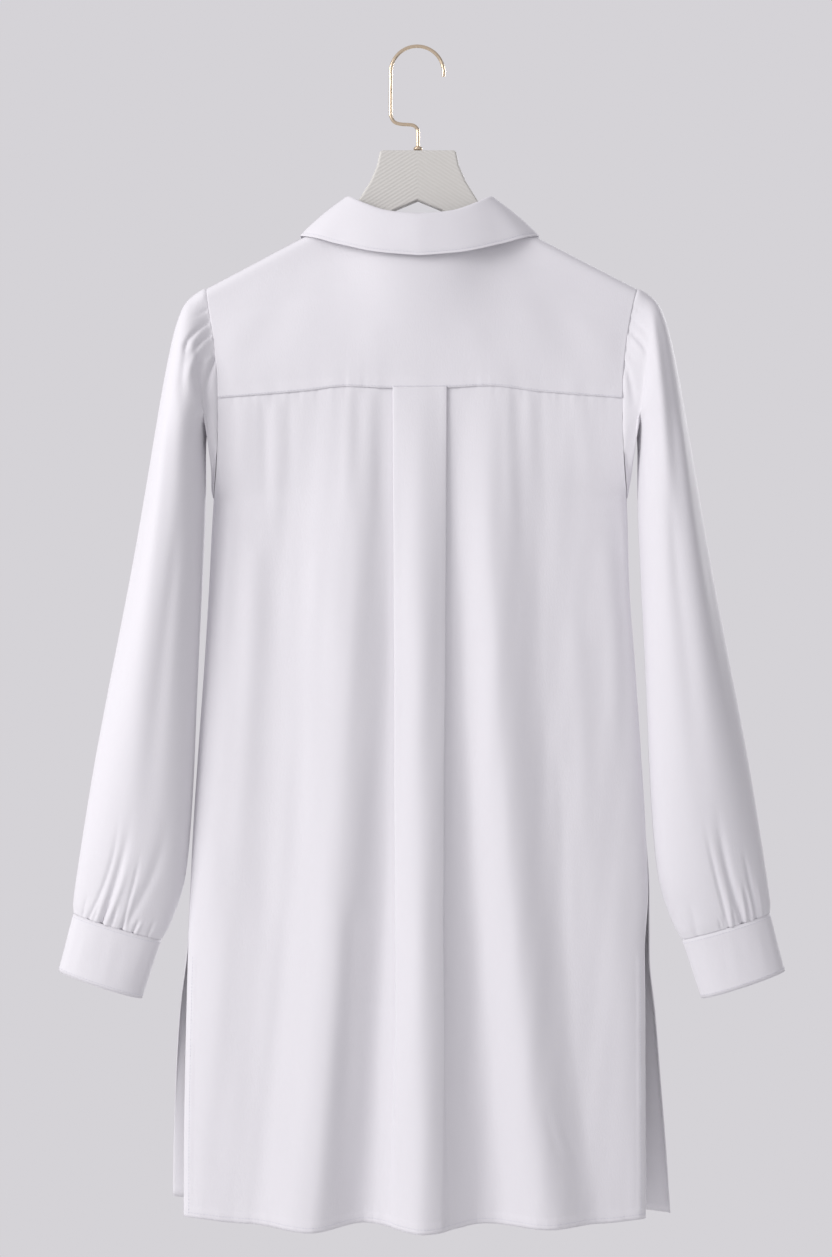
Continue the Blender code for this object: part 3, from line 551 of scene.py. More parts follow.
CUFF_GATHERS_LEFT = (
    (303.7, 581.8, 290.4, 554.7, 274.8, 481.5, 2, -1.4),
    (291.5, 585.9, 279.4, 552, 262.9, 483.3, 3.2, -2.4),
    (291.5, 585.9, 287.6, 575.8, 283, 565.7, 1.3, -1.2),
    (282.6, 588.6, 279.4, 578.6, 276.6, 568.5, 1.4, -1.3),
    (273.2, 591.4, 268.4, 575.8, 253.7, 514.4, 1.6, -1.5),
    (263.6, 596.9, 260.1, 589.1, 256.5, 581.3, 1.4, -1.4),
    (271.1, 590.5, 249.2, 552.9, 230.8, 477.8, 4.5, -1.2),
    (298.6, 583.6, 295.9, 576.7, 293.1, 570.3, 1.2, -0.9),
    (309.6, 580.2, 307.3, 571.2, 304.1, 556.6, 1.6, -0.8),
    (250.1, 599.6, 246.4, 590.5, 242.7, 580.4, 1.6, -0.7),
    (296.8, 584.1, 290.8, 569.4, 282.1, 545.6, 1.8, 0.9),
    (287.6, 586.8, 276.6, 561.2, 264.7, 519.9, 2.4, 1.2),
    (269.8, 591.8, 265.6, 571.2, 255.6, 538.3, 2, 1),
    (261.1, 597.8, 257.4, 590.5, 254.2, 583.1, 1.2, 0.8),
)
CUFF_GATHERS_RIGHT = (
    (-286.4, 590, -279.4, 563.9, -260.1, 483.3, 1.8, -1.4),
    (-298.6, 585, -288.5, 552.9, -273, 472.3, 3.2, -2.3),
    (-298.6, 585, -296.3, 574.9, -293.1, 564.8, 1.3, -1),
    (-306.1, 583.1, -303.2, 568.5, -298.6, 549.2, 1.5, -1.3),
    (-312.3, 580.8, -307.8, 560.2, -297.7, 510.8, 1.8, -1.3),
    (-279.7, 592.3, -278.5, 586.8, -276.6, 581.3, 1.2, -1),
    (-283, 591.4, -281.7, 584.1, -280.3, 576.7, 1.2, -0.9),
    (-292.2, 587.7, -290.4, 578.6, -288.5, 571.2, 1.2, -0.8),
    (-258.3, 601.5, -255.6, 586.8, -249.2, 559.3, 3, -0.8),
    (-289.5, 588.6, -285.8, 568.5, -278.5, 541, 2, 1.1),
    (-302.3, 584.1, -299.5, 566.6, -294, 541.9, 1.8, 1),
    (-309.2, 582.2, -305.9, 565.7, -300.4, 545.6, 1.4, 0.7),
    (-317.9, 579.5, -315.1, 563.9, -310.5, 536.4, 2, 0.6),
)
# Gathers of the caps in front, unseen: turn (degrees from the shoulder tip) and ring at both ends,
# half width in degrees, and height out in mm.
CAP_FOLDS_FRONT = (
    (-6, 0.2, -7, 4.0, 5.0, 1.3),
    (-15, 0.2, -17, 3.6, 4.4, -1.6),
    (-24, 0.2, -29, 4.8, 5.0, 1.9),
    (-32, 0.2, -38, 3.6, 3.8, -2.0),
    (-40, 0.2, -52, 5.0, 4.6, 2.2),
    (-47, 0.2, -66, 4.2, 3.8, -2.4),
    (-55, 0.2, -78, 5.6, 4.6, 2.4),
    (-63, 0.2, -88, 4.4, 3.8, -2.2),
    (-71, 0.2, -86, 3.6, 3.8, 1.6),
)
# Long soft creases of the sleeves below the caps, in the same columns.
SLEEVE_CREASES_LEFT = (
    (60, 5.0, 80, 12.0, 12.0, 1.5),
    (108, 7.0, 96, 14.0, 11.0, -1.4),
    (24, 6.0, 40, 13.0, 13.0, -1.2),
    (-40, 8.0, -64, 14.5, 13.0, 1.4),
    (-92, 6.0, -80, 12.5, 12.0, -1.3),
    (160, 7.5, 150, 13.5, 14.0, 1.1),
)
SLEEVE_CREASES_RIGHT = (
    (54, 5.0, 70, 11.0, 12.0, 1.3),
    (100, 6.0, 90, 13.5, 11.0, -1.5),
    (30, 7.0, 44, 14.0, 13.0, -1.1),
    (-50, 7.0, -70, 14.0, 13.0, 1.5),
    (-98, 6.5, -84, 12.0, 12.0, -1.2),
    (156, 8.0, 148, 14.0, 14.0, 1.2),
)
# Rise, fall and widening of the sleeves' creases and front gathers.
SLEEVE_LINES = (0.2, 0.6, 0.5)
# Turns of the unseen gathers into a cuff, in degrees.
CUFF_GATHERS = (4, 17, 31, 46, 60, 76, 90, 106, 120, 137, 155, 176, 198, 221, 243, 262, 281, 299,
                317, 338)


@lru_cache(maxsize=None)
def body(wanted, level):
    return float(along(BODY, BODY_COLUMNS, "level", wanted, level))


@lru_cache(maxsize=None)
def slit_edge(wanted, level):
    return float(along(SLIT_EDGES, EDGE_COLUMNS, "level", wanted, max(level, UNDERARM_LEVEL)))


def ripple(a, b, scale):
    """Small uneven waves, about 1 high, that don't repeat in sight."""
    a = a / scale
    b = b / scale
    return (math.sin(a * 1.9 + 1.3 * math.sin(b * 0.7)) + math.sin(b * 1.3 + a * 0.8 + 2.1)
            + math.sin(a * 3.1 - b * 0.9 + 0.6) * 0.6) / 2.6


def soft_lines(table, across, ahead, rise=0.12, fall=0.5, widening=0.0):
    """Height at one place of all soft lines of a table, each full between its rise and its fall."""
    height = 0.0
    for across_a, ahead_a, across_b, ahead_b, width, out in table:
        t = (ahead - ahead_a) / (ahead_b - ahead_a)
        if not 0 < t < 1:
            continue
        d = (across - across_a - (across_b - across_a) * t) / (width * (1 + widening * t))
        if abs(d) < 3:
            height += out * ease(t / rise) * ease((1 - t) / fall) * math.exp(-d * d)
    return height


def linked(name, data):
    """A new object of the scene."""
    made = bpy.data.objects.new(name, data)
    bpy.context.scene.collection.objects.link(made)
    return made


def mesh_piece(name, points, faces, finish):
    """A mesh object on the part's one body."""
    mesh = bpy.data.meshes.new(name)
    mesh.from_pydata([tuple(p) for p in points], [], faces)
    mesh.materials.append(finish)
    made = linked(name, mesh)
    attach(made, "root")
    return made


def shell(name, rows, finish, ring=False):
    """A thin cloth wall on a grid of its middle surface; a ring's last column meets its first."""
    count = len(rows[0])
    points = [p for row in rows for p in row]
    faces = []
    for i in range(len(rows) - 1):
        for j in range(count if ring else count - 1):
            k = (j + 1) % count
            faces.append((i * count + j, (i + 1) * count + j, (i + 1) * count + k, i * count + k))
    made = mesh_piece(name, points, faces, finish)
    made.data.shade_smooth()
    wall = made.modifiers.new("Wall", 'SOLIDIFY')
    wall.thickness = CLOTH
    wall.offset = 0.0
    return made


def joined(name, parts, finish):
    """One mesh object from (points, faces) lists."""
    points = []
    faces = []
    for part_points, part_faces in parts:
        start = len(points)
        points += part_points
        faces += [tuple(start + i for i in face) for face in part_faces]
    return mesh_piece(name, points, faces, finish)


def pleat_half(edge, inward, v):
    """The box pleat's path from the flank to its face: x, and height above the panel."""
    open_share = ease((v - PLEAT_LAP_END) / (1 - PLEAT_LAP_END))
    turned = math.radians(180 - 155 * open_share)
    height = PLEAT_HEIGHT * (1 + 0.9 * v * (1 - open_share))
    lap_share = max(1 - (v / PLEAT_LAP_END) ** 2, 0.0)
    lap = 1.2 + (PLEAT_UNDERLAP - PLEAT_HEIGHT / 2 - 1.2) * lap_share
    radius = (height - lap * math.sin(turned)) / (2 * (1 - math.cos(turned)))
    middle = (lap / 2 + radius) * (1 - open_share) - 4 * open_share
    ahead = (math.cos(turned), math.sin(turned))
    outer = []
    for step in range(8):
        angle = turned * (1 - step / 7)
        across = ahead[0] * lap / 2 + radius * (ahead[1] - math.sin(angle))
        rise = ahead[1] * lap / 2 + radius * (math.cos(angle) - ahead[0])
        outer.append((across, rise))
    inner = [(-across, -rise) for across, rise in outer[::-1]]
    spread = [((outer[0][0] - inner[-1][0]) * t + inner[-1][0],
               (outer[0][1] - inner[-1][1]) * t + inner[-1][1]) for t in (0.2, 0.4, 0.6, 0.8)]
    turns = [(middle + across, height / 2 + rise) for across, rise in inner + spread + outer]
    start = turns[0][0]
    flank = [(-34 + (start + 34) * t, 0.0) for t in np.linspace(0, 1, 16)[:-1]]
    return [(edge + inward * across, rise) for across, rise in flank + turns]


def back_panel_line(side_level, v, flank):
    """Places across the back panel at one level, left to right: x, and height of the pleat."""
    wander = 0.5 * math.sin(side_level / 61) + 0.35 * math.sin(side_level / 23 + 1)
    halves = []
    for side, edge in ((1, PLEAT_FACE_LEFT - 4 * v), (-1, PLEAT_FACE_RIGHT + 5 * v)):
        half = pleat_half(edge + wander * v, -side, v)
        side_x = from_share(side, side_level)
        start_x = half[0][0]
        halves.append([(side_x * share + start_x * (1 - share), 0.0) for share in flank] + half)
    left, right = halves
    (left_x, height), right_x = left[-1], right[-1][0]
    face = [(left_x * (1 - share) + right_x * share, height + FACE_BOW * math.sin(math.pi * share))
            for share in np.linspace(0.08, 0.92, 11)]
    return left + face + right[::-1]


def back_panel_rows():
    """The back panel from the yoke seam to the hem, with pleat, folds, creases and turnings."""
    flank = [1, 0.997, 0.992, 0.985, 0.975, 0.965, 0.957, 0.949]
    flank += list(np.linspace(0.935, 0.02, 54))
    levels = [101, 102.5, 104.5, 107] + list(np.linspace(110, 848, 124))
    levels += [850, 851.5, 854, 857, 860]
    rows = []
    for side_level in levels:
        side_level = float(side_level)
        v = (side_level - YOKE_LEVEL) / (HEM_LEVEL - YOKE_LEVEL)
        pucker = PUCKER_HEIGHT * math.exp(-(side_level - YOKE_LEVEL) / 9)
        pucker += PUCKER_HEIGHT * math.exp(-(HEM_LEVEL - side_level) / 10)
        at_seam = 0.3 + 0.7 * ease((side_level - YOKE_LEVEL) / 16)
        in_hem = ease((side_level - HEM_LEVEL + HEM_WIDTH) / 1.5)
        row = []
        for x, lift in back_panel_line(side_level, v, flank):
            s = width_place(x, side_level)
            inside = 1 - abs(s)
            out, hem = fold(BACK_FOLDS, x, side_level)
            level = side_level + (yoke_seam(x) - 0.6 - YOKE_LEVEL) * (1 - v) + (hem - HEM_LEVEL) * v
            crease = soft_lines(BACK_CREASES, x, side_level)
            out += crease * (0.25 if lift > 0.5 else 1.0) * at_seam
            out += RIPPLE_HEIGHT * ripple(x, level * 0.35, 11) * ease(inside / 0.05)
            out += pucker * ripple(x, 0, PUCKER_SCALE)
            in_turning = ease((0.037 - inside) / 0.005) * ease((side_level - (SLIT_START + 4)) / 6)
            band = HEM_HEIGHT * max(in_hem, in_turning)
            y = lens(s, side_level, "back") + out * ease(inside / SIDE_FADE) + lift + band
            row.append(point(x, y + edge_pucker(0.7, inside, side_level, level), level))
        rows.append(row)
    return rows


def edge_pucker(height, inside, side_level, level):
    """Small waves of a slit's free edge; inside is how far in from it, as a share."""
    at_edge = height * ease(1 - inside / 0.04) * ease((side_level - SLIT_START) / 40)
    return at_edge * ripple(level, 0, 3.2)


def evened(row, reach, keep):
    """Evens a row in depth and height over a reach in x, in mm; keep is the share that stays."""
    place = np.array(row)
    weight = np.exp(-((place[:, None, 0] - place[None, :, 0]) / (reach * MM)) ** 2)
    gaps = np.gradient(place[:, 0])
    weight = weight * np.abs(gaps)[None, :]
    for axis in (1, 2):
        even = (weight @ place[:, axis]) / weight.sum(axis=1)
        place[:, axis] = place[:, axis] * keep + even * (1 - keep)
    return [tuple(p) for p in place]


def yoke_rows():
    """The yoke from the shoulders and the neck to its seam, where it follows the panel."""
    shoulder = [0, 0.01, 0.025, 0.045] + list(np.linspace(0.07, 0.97, 26))
    turns = np.linspace(90, 2, 26)
    left = top_line(shoulder, turns, 1)
    right = top_line(shoulder, turns, -1)
    tops = left + right[::-1]
    rows = []
    down = [0, 0.01, 0.02, 0.035, 0.05, 0.07] + list(np.linspace(0.1, 0.97, 32)) + [0.985, 1]
    for v in down:
        row = []
        extra = []
        shares = []
        for top in tops:
            s = width_place(top[0], 0)
            x = from_share(s, YOKE_LEVEL * v)
            seam = yoke_seam(x)
            level = top[2] + (seam + 0.7 - top[2]) * v
            y = upper_depth(top, level, lens(s, YOKE_LEVEL, "back"), v)
            y += YOKE_OVER_PANEL * ease((v - 0.93) / 0.05)
            if top[1] < 1:
                y -= SHOULDER_CLOSE * (1 - ease(v / 0.03))
            over_pleat = 1.6 * ease(1 - abs(x - CENTRE_LINE_X) / 60) * ease(2 * v - 1)
            inner = ease(v / 0.2) * ease((1 - abs(s)) / 0.06)
            detail = soft_lines(YOKE_CREASES, x, level) + RIPPLE_HEIGHT * ripple(x, level, 32)
            detail *= inner
            panel = fold(BACK_FOLDS, x, YOKE_LEVEL)[0] * ease((1 - abs(s)) / SIDE_FADE)
            panel += RIPPLE_HEIGHT * ripple(x, seam * 0.35, 11) * ease((1 - abs(s)) / 0.05)
            detail += (panel - detail) * ease((v - 0.7) / 0.3)
            pucker = 0.45 * math.exp(-(1 - v) / 0.06) * ripple(x, 0, PUCKER_SCALE)
            row.append(point(x, y + over_pleat, level))
            extra.append((detail + pucker) * MM)
            shares.append(s)
        keep = 1 - ease(v / 0.17) * ease((1 - np.abs(np.array(shares))) / 0.12)
        keep = np.maximum(keep, ease((v - 0.9) / 0.1))
        row = evened(row, 10 + 38 * v, keep)
        rows.append([(x, y + more, z) for (x, y, z), more in zip(row, extra)])
    return rows


def front_surface(x, top, side_level, lift):
    """Place of the front's cloth below one point of its top edge."""
    s = width_place(x, side_level, True)
    out, hem = fold(FRONT_FOLDS, x, side_level)
    v = side_level / HEM_LEVEL
    level = top[2] * (1 - v) + (side_level + (hem - HEM_LEVEL) * v)
    if top[2] > 0:
        level = top[2] + (hem - top[2]) * v
    if side_level < YOKE_LEVEL:
        deep = -lens(s, YOKE_LEVEL, "front")
        y = -upper_depth(top, level, deep, side_level / YOKE_LEVEL)
        if abs(top[1]) < 1:
            y += SHOULDER_CLOSE * (1 - ease(side_level / 3))
    else:
        y = lens(s, side_level, "front")
    off_middle = ease((abs(x - CENTRE_LINE_X) - 18) / 14)
    low = ease(side_level / 60) * off_middle
    out += soft_lines(FRONT_CREASES, x, side_level) * low
    out += RIPPLE_HEIGHT * ripple(x, level * 0.4, 12) * low
    pucker = PUCKER_HEIGHT * math.exp(-(HEM_LEVEL - side_level) / 10)
    out += pucker * ripple(x, 0, 2.8) * off_middle
    inside = 1 - abs(s)
    y -= out * ease(inside / SIDE_FADE)
    y += edge_pucker(0.6, inside, side_level, level)
    return point(x, y + lift, level)


def front_tops(side):
    """A front's top edge: shoulder, neck and the overlap past the middle."""
    shoulder = [0, 0.006, 0.014, 0.026, 0.04] + list(np.linspace(0.07, 0.96, 28))
    turns = list(np.linspace(90, 152, 20)) + [156, 160, OVERLAP_TURN, 169, 173, 177]
    tops = top_line(shoulder, turns, side)
    tops.append((CENTRE_LINE_X, abs(collar("neck_y", 180)), collar("neck", 180), 0.0))
    for turn in (177, 173, 169, OVERLAP_TURN):
        x = CENTRE_LINE_X - side * collar("neck_x", turn)
        tops.append((x, abs(collar("neck_y", turn)), collar("neck", turn), 0.0))
    return tops


def front_rows(side, lift_at):
    """A front from its top edge to the hem; lift_at moves it in or out along x."""
    tops = front_tops(side)
    rows = []
    for side_level in [0, 1, 2, 3.5, 5, 7.5, 10, 14, 18] + list(np.linspace(24, 860, 120)):
        side_level = float(side_level)
        row = []
        for top in tops:
            s = width_place(top[0], 0)
            x = from_share(s, side_level, True)
            near_middle = ease(1.7 - abs(x - CENTRE_LINE_X) / 28)
            x += (top[0] - x) * near_middle
            row.append(front_surface(x, top, side_level, lift_at(x)))
        v = side_level / YOKE_LEVEL
        if v < 3:
            places = np.array([(x / MM - CENTRE_LINE_X) * side for x, _, _ in row])
            keep = 1 - ease(v / 0.17) * ease((places - 24) / 20) * ease((186 - places) / 24)
            keep = np.maximum(keep, ease((v - 2) / 1))
            row = evened(row, 6 + 34 * min(v, 1), keep)
        rows.append(row if side > 0 else row[::-1])
    return [row[::-1] for row in rows]


def under_lift(x):
    """How far the left front stands in, where the right one covers it."""
    start = CENTRE_LINE_X + 2.2 * FRONT_OVERLAP
    return FRONT_LAYER * ease((start - x) / (FRONT_OVERLAP * 0.8))


def placket_rows(front):
    """The button band: the right front's last columns, one layer out."""
    rows = []
    for row in front[1:]:
        rows.append([(x, y - PLACKET_LAYER * MM, z) for x, y, z in row[::-1][:BAND_COLUMNS]])
    return rows


def gathers(table, x, level):
    """Height of the gathers of a table at one place; each is full at its seam and fades."""
    height = 0.0
    for x_a, a, x_b, b, x_c, c, width, out in table:
        t = (level - a) / (c - a)
        if not -0.1 < t < 1:
            continue
        middle = (b - a) / (c - a)
        bend = ((x_b - x_a) / middle - (x_c - x_a)) / (middle - 1)
        slope = (x_c - x_a) - bend + 2 * bend * t
        d = x - x_a - (x_c - x_a - bend) * t - bend * t * t
        d /= width * (0.8 + 0.6 * max(t, 0)) * math.hypot(1, slope / (c - a))
        if abs(d) < 2.6:
            height += out * ease((t + 0.1) / 0.1) * ease((1 - t) / 0.6) * math.exp(-d * d)
    return height


def smooth_row(table, place):
    """A table's row at a fractional place, on a curve through its rows."""
    last = len(table) - 1
    i = min(int(place), last - 1)
    t = place - i
    p = [np.array(table[min(max(k, 0), last)], float) for k in (i - 1, i, i + 1, i + 2)]
    return (p[1] * 2 + (p[2] - p[0]) * t + (2 * p[0] - 5 * p[1] + 4 * p[2] - p[3]) * t * t
            + (3 * p[1] - p[0] - 3 * p[2] + p[3]) * t * t * t) / 2


def sleeve_rings(side, turns):
    """Smooth rings of a sleeve in mm: the armhole, the next ring, then the table's."""
    armhole_ring = []
    next_ring = []
    for turn in turns:
        x, y, level = armhole(turn, side)
        under = ease((level - 120) / 60)
        gap = 0.25 + 0.5 * under
        armhole_ring.append((x + side * gap, y, level - 0.8 * under))
        depth = y * (1 + 0.1 * (1 - under))
        next_ring.append((x + side * (gap + 3.5 - 2 * under), depth, level + 1 - 10 * under))
    rings = [armhole_ring, next_ring]
    for ring in SLEEVE_RINGS:
        places = [oval(*ring, turn, 0.0, side) for turn in turns]
        rings.append([(x / MM, y / MM, (SHOULDER_TIP_Z - z) / MM) for x, y, z in places])
    return np.array(rings)


def ring_normals(table, place, middle):
    """Directions across a sleeve's wall at a ring's points."""
    last = len(table) - 1
    around = np.roll(middle, -1, axis=0) - np.roll(middle, 1, axis=0)
    ahead = smooth_row(table, min(place + 0.3, last)) - smooth_row(table, max(place - 0.3, 0))
    normal = np.cross(around, ahead)
    return normal / (np.linalg.norm(normal, axis=1, keepdims=True) + 1e-9)


def sleeve_rows(side):
    """A sleeve's rings with their gathers and creases."""
    seen_gathers = CAP_GATHERS_LEFT + CUFF_GATHERS_LEFT
    long_creases = SLEEVE_CREASES_LEFT
    if side < 0:
        seen_gathers = CAP_GATHERS_RIGHT + CUFF_GATHERS_RIGHT
        long_creases = SLEEVE_CREASES_RIGHT
    turns = [-math.pi + 2 * math.pi * j / SLEEVE_COLUMNS for j in range(SLEEVE_COLUMNS)]
    table = sleeve_rings(side, turns)
    last = len(table) - 1
    places = list(np.linspace(0, 6, 55)) + list(np.linspace(6, last - 3, 34))[1:]
    places += list(np.linspace(last - 3, last, 28))[1:]
    rows = []
    for place in places:
        middle = smooth_row(table, place)
        normals = ring_normals(table, place, middle)
        ring = max(place - 1, 0)
        between = ease(place - 1) * ease((last - place) / 0.7)
        over_cuff = 0.9 * ease((last - place) / 0.6) * ease((3.2 - last + place) / 3.2)
        pucker = 0.3 * math.exp(-place / 0.25) * ease(place / 0.1)
        to_normal = ease(place / 4)
        row = []
        for turn, (x, y, level), normal in zip(turns, middle, normals):
            degrees = math.degrees(turn)
            if y > 0:
                seen = ease((y - 0.5) / 4) * ease(place / 0.4)
                lift = gathers(seen_gathers, x, level) * seen
            else:
                unseen = soft_lines(CAP_FOLDS_FRONT, degrees, ring, *SLEEVE_LINES)
                lift = unseen * ease(place / 0.6) + cuff_lift(degrees, place, last)
            lift += soft_lines(long_creases, degrees, ring, *SLEEVE_LINES) * 1.2
            lift += 0.3 * ripple(degrees * 0.6, place * 14, 12) * between
            lift += over_cuff + pucker * ripple(degrees, 0, 4.0)
            outward = np.array([side * math.cos(turn), math.sin(turn), 0.0])
            if normal @ outward < 0 and place > 1:
                normal = -normal
            push = outward * (1 - to_normal) + normal * to_normal
            row.append(point(*(np.array([x, y, level]) + push * lift)))
        rows.append(row)
    return rows if side < 0 else [row[::-1] for row in rows]


def cuff_lift(degrees, place, last):
    """Gathers into the cuff: narrow troughs that run up from the seam and fade."""
    up = last - place
    if up > 6:
        return 0.0
    height = 0.0
    for k, at in enumerate(CUFF_GATHERS):
        length = 2.2 + 1.9 * abs(math.sin(k * 2.4 + 0.5))
        d = abs((degrees + 180 - at + 180) % 360 - 180) / (4.6 + 1.3 * up)
        if up < length and d < 3:
            height -= 2.0 * ease(up / 0.35) * ease((length - up) / length) * math.exp(-d * d)
    return height


def cuff_rows(side):
    """Rings of a cuff that lap over themselves in front, from just above its seam to its end."""
    rows = []
    for v in np.linspace(-0.012, 1, 15):
        shape = [a + (b - a) * v for a, b in zip(CUFF_TOP, CUFF_BOTTOM)]
        row = []
        for j in range(CUFF_COLUMNS + 1):
            lap = CUFF_LAP * ease((j / CUFF_COLUMNS - 0.8) / 0.12)
            lap += 0.35 * math.sin(math.pi * v) * ripple(j * 2.5, v * 20, 7)
            row.append(oval(*shape, CUFF_START + CUFF_SWEEP * j / CUFF_COLUMNS, lap, side))
        rows.append(row if side < 0 else row[::-1])
    return rows


def collar_points(turn):
    """The collar's seam on the neck and its fold, as x, y and level."""
    low = np.array([collar("neck_x", turn), collar("neck_y", turn), collar("neck", turn)])
    high = np.array([collar("fold_x", turn), collar("fold_y", turn), collar("fold", turn)])
    return low, high


def stand_rows():
    """The band round the neck, up to where the leaf folds over it."""
    turns = np.linspace(192, -192, 120)
    rows = []
    for share in (0.835, 0.63, 0.42, 0.21, 0.0):
        row = []
        for turn in turns:
            low, high = collar_points(turn)
            inset = np.array([-low[0], -low[1], 0.0]) * (STAND_INSET / math.hypot(low[0], low[1]))
            low = low + inset + np.array([0, 0, -0.9])
            front_drop = 1 - 0.36 * ease((abs(turn) - 140) / 30)
            x, y, level = low + (high - low) * share * front_drop
            over = ease((turn - 142) / 24) - ease((-turn - 142) / 24)
            row.append(point(CENTRE_LINE_X + x, y + 1.15 * over, level))
        rows.append(row)
    return rows


def leaf_rows():
    """From the stand's top over the fold, then down outside to the leaf's edge."""
    turns = np.linspace(178, -178, 150)
    path = ((0.86, 0.0), (0.92, 0.1), (0.97, 0.3), (1.01, 1.0), (1.03, 2.0), (1.022, 2.9),
            (1.0, 3.6), (0.97, 4.1), (0.94, 4.5))
    rows = []
    for share, out in path:
        row = []
        for turn in turns:
            low, high = collar_points(turn)
            away = np.array([high[0], high[1], 0.0]) / math.hypot(high[0], high[1])
            x, y, level = low + (high - low) * share + away * (out - 0.9 * (1 - share))
            row.append(point(CENTRE_LINE_X + x, y, level))
        rows.append(row)
    last = rows[-1]
    for share in list(np.linspace(0.05, 0.87, 18)) + [0.9, 0.93, 0.96, 0.985, 1]:
        lift = 8.5 * share * (1 - share) - 0.5 * math.exp(-((share - 0.93) / 0.025) ** 2)
        row = []
        for j, turn in enumerate(turns):
            rest = 2.6 * math.exp(-((abs(turn) - 74) / 20) ** 2)
            edge = Vector(point(CENTRE_LINE_X + collar("edge_x", turn), collar("edge_y", turn),
                                collar("edge", turn) + rest))
            away = Vector((collar("fold_x", turn), collar("fold_y", turn), 0.0)).normalized()
            soft = 0.3 * ripple(turn, share * 30, 12) * math.sin(math.pi * share)
            row.append(Vector(last[j]).lerp(edge, share) + away * (lift + soft) * MM)
        rows.append(row)
    return rows


def grid_path(rows, i_from, j_from, i_to, j_to, count):
    """Points and outward normals along a straight line of grid places, on a piece's surface."""
    grid = np.array([[tuple(p) for p in row] for row in rows])
    high_i = grid.shape[0] - 1.001
    high_j = grid.shape[1] - 1.001

    def at(i, j):
        i = min(max(i, 0), high_i)
        j = min(max(j, 0), high_j)
        a, b = int(i), int(j)
        u, w = i - a, j - b
        return ((grid[a, b] * (1 - u) + grid[a + 1, b] * u) * (1 - w)
                + (grid[a, b + 1] * (1 - u) + grid[a + 1, b + 1] * u) * w)
    line = []
    for t in np.linspace(0, 1, count):
        i = i_from + (i_to - i_from) * t
        j = j_from + (j_to - j_from) * t
        normal = np.cross(at(i, j + 0.4) - at(i, j - 0.4), at(i + 0.4, j) - at(i - 0.4, j))
        normal /= np.linalg.norm(normal) + 1e-12
        line.append((at(i, j), normal))
    return line


def stitch_parts(line, outside, pitch=STITCH_PITCH):
    """Short raised threads along a line of (point, normal), on the side that outside points to."""
    length, width, high = STITCH_HALF_SIZE
    parts = []
    travelled = 0.0
    due = pitch * MM / 2
    for (a, normal_a), (b, normal_b) in zip(line, line[1:]):
        step = np.linalg.norm(b - a)
        if step < 1e-9:
            continue
        while due <= travelled + step:
            t = (due - travelled) / step
            normal = normal_a * (1 - t) + normal_b * t
            normal = normal * (1 if normal @ outside(a) > 0 else -1)
            run = (b - a) / step
            across = np.cross(normal, run)
            centre = a + (b - a) * t + normal * (CLOTH / 2)
            base = [centre + run * length * p + across * width * q - normal * high
                    for p, q in SQUARE]
            top = [centre + run * length * 0.7 * p + across * width * 0.6 * q + normal * high
                   for p, q in SQUARE]
            parts.append((base + top, BLOCK_FACES))
            due += pitch * MM
        travelled += step
    return parts


def row_stitches(rows, outside, up, inset, count=300, pitch=STITCH_PITCH):
    """Stitches along a grid row, up from the last one and set in from its two ends.

    count is the number of places at which the line is followed.
    """
    i = len(rows) - 1 - up
    line = grid_path(rows, i, inset, i, len(rows[0]) - 1 - inset, count)
    return stitch_parts(line, outside, pitch)


def column_stitches(rows, outside, start, up, inset, count=300):
    """Stitches along two grid columns, inset from both sides, from a row to near the last one."""
    parts = []
    for j in (inset, len(rows[0]) - 1 - inset):
        parts += stitch_parts(grid_path(rows, start, j, len(rows) - 1 - up, j, count), outside)
    return parts


def behind(place):
    """The way out of the cloth behind; before and from_neck are those in front and at the neck."""
    return np.array([0.0, 1.0, 0.0])


def before(place):
    return -behind(place)


def from_neck(place):
    return np.array([place[0], place[1], 0.25 * abs(place[0])])


def forward(direction):
    """A direction of length 1, turned so that it points out of the shirt's front."""
    direction = direction.normalized()
    return -direction if direction.y > 0 else direction


def level_row(rows, level):
    """Grid row whose middle column is nearest to a level."""
    middle = len(rows[0]) // 2
    target = SHOULDER_TIP_Z - level * MM
    return int(np.argmin([abs(row[middle][2] - target) for row in rows]))


def alone(item):
    """Makes one piece the only selected and active one."""
    bpy.ops.object.select_all(action='DESELECT')
    item.select_set(True)
    bpy.context.view_layer.objects.active = item


def named(name, finish):
    """Names the primitive that was just added and gives it its finish."""
    made = bpy.context.object
    made.name = made.data.name = name
    made.data.materials.append(finish)
    return made


def drawn_ring(name, places, finish):
    """A primitive circle with its points moved to a drawn closed outline."""
    bpy.ops.object.select_all(action='DESELECT')
    bpy.ops.mesh.primitive_circle_add(vertices=len(places), radius=MM)
    made = named(name, finish)
    for point, place in zip(made.data.vertices, places):
        point.co = place
    bpy.ops.object.mode_set(mode='EDIT')
    bpy.ops.mesh.select_mode(type='VERT')
    bpy.ops.mesh.select_all(action='SELECT')
    return made


def end_with_faces_out():
    """Ends the edit of a piece, with all its faces turned outward."""
    bpy.ops.mesh.select_all(action='SELECT')
    bpy.ops.mesh.normals_make_consistent(inside=False)
    bpy.ops.object.mode_set(mode='OBJECT')


def rounded(item, width, segments, angle):
    """Rounds a piece's sharp edges with an applied bevel."""
    alone(item)
    edge = item.modifiers.new("Rounded edges", 'BEVEL')
    edge.width = width
    edge.segments = segments
    edge.angle_limit = math.radians(angle)
    bpy.ops.object.modifier_apply(modifier=edge.name)


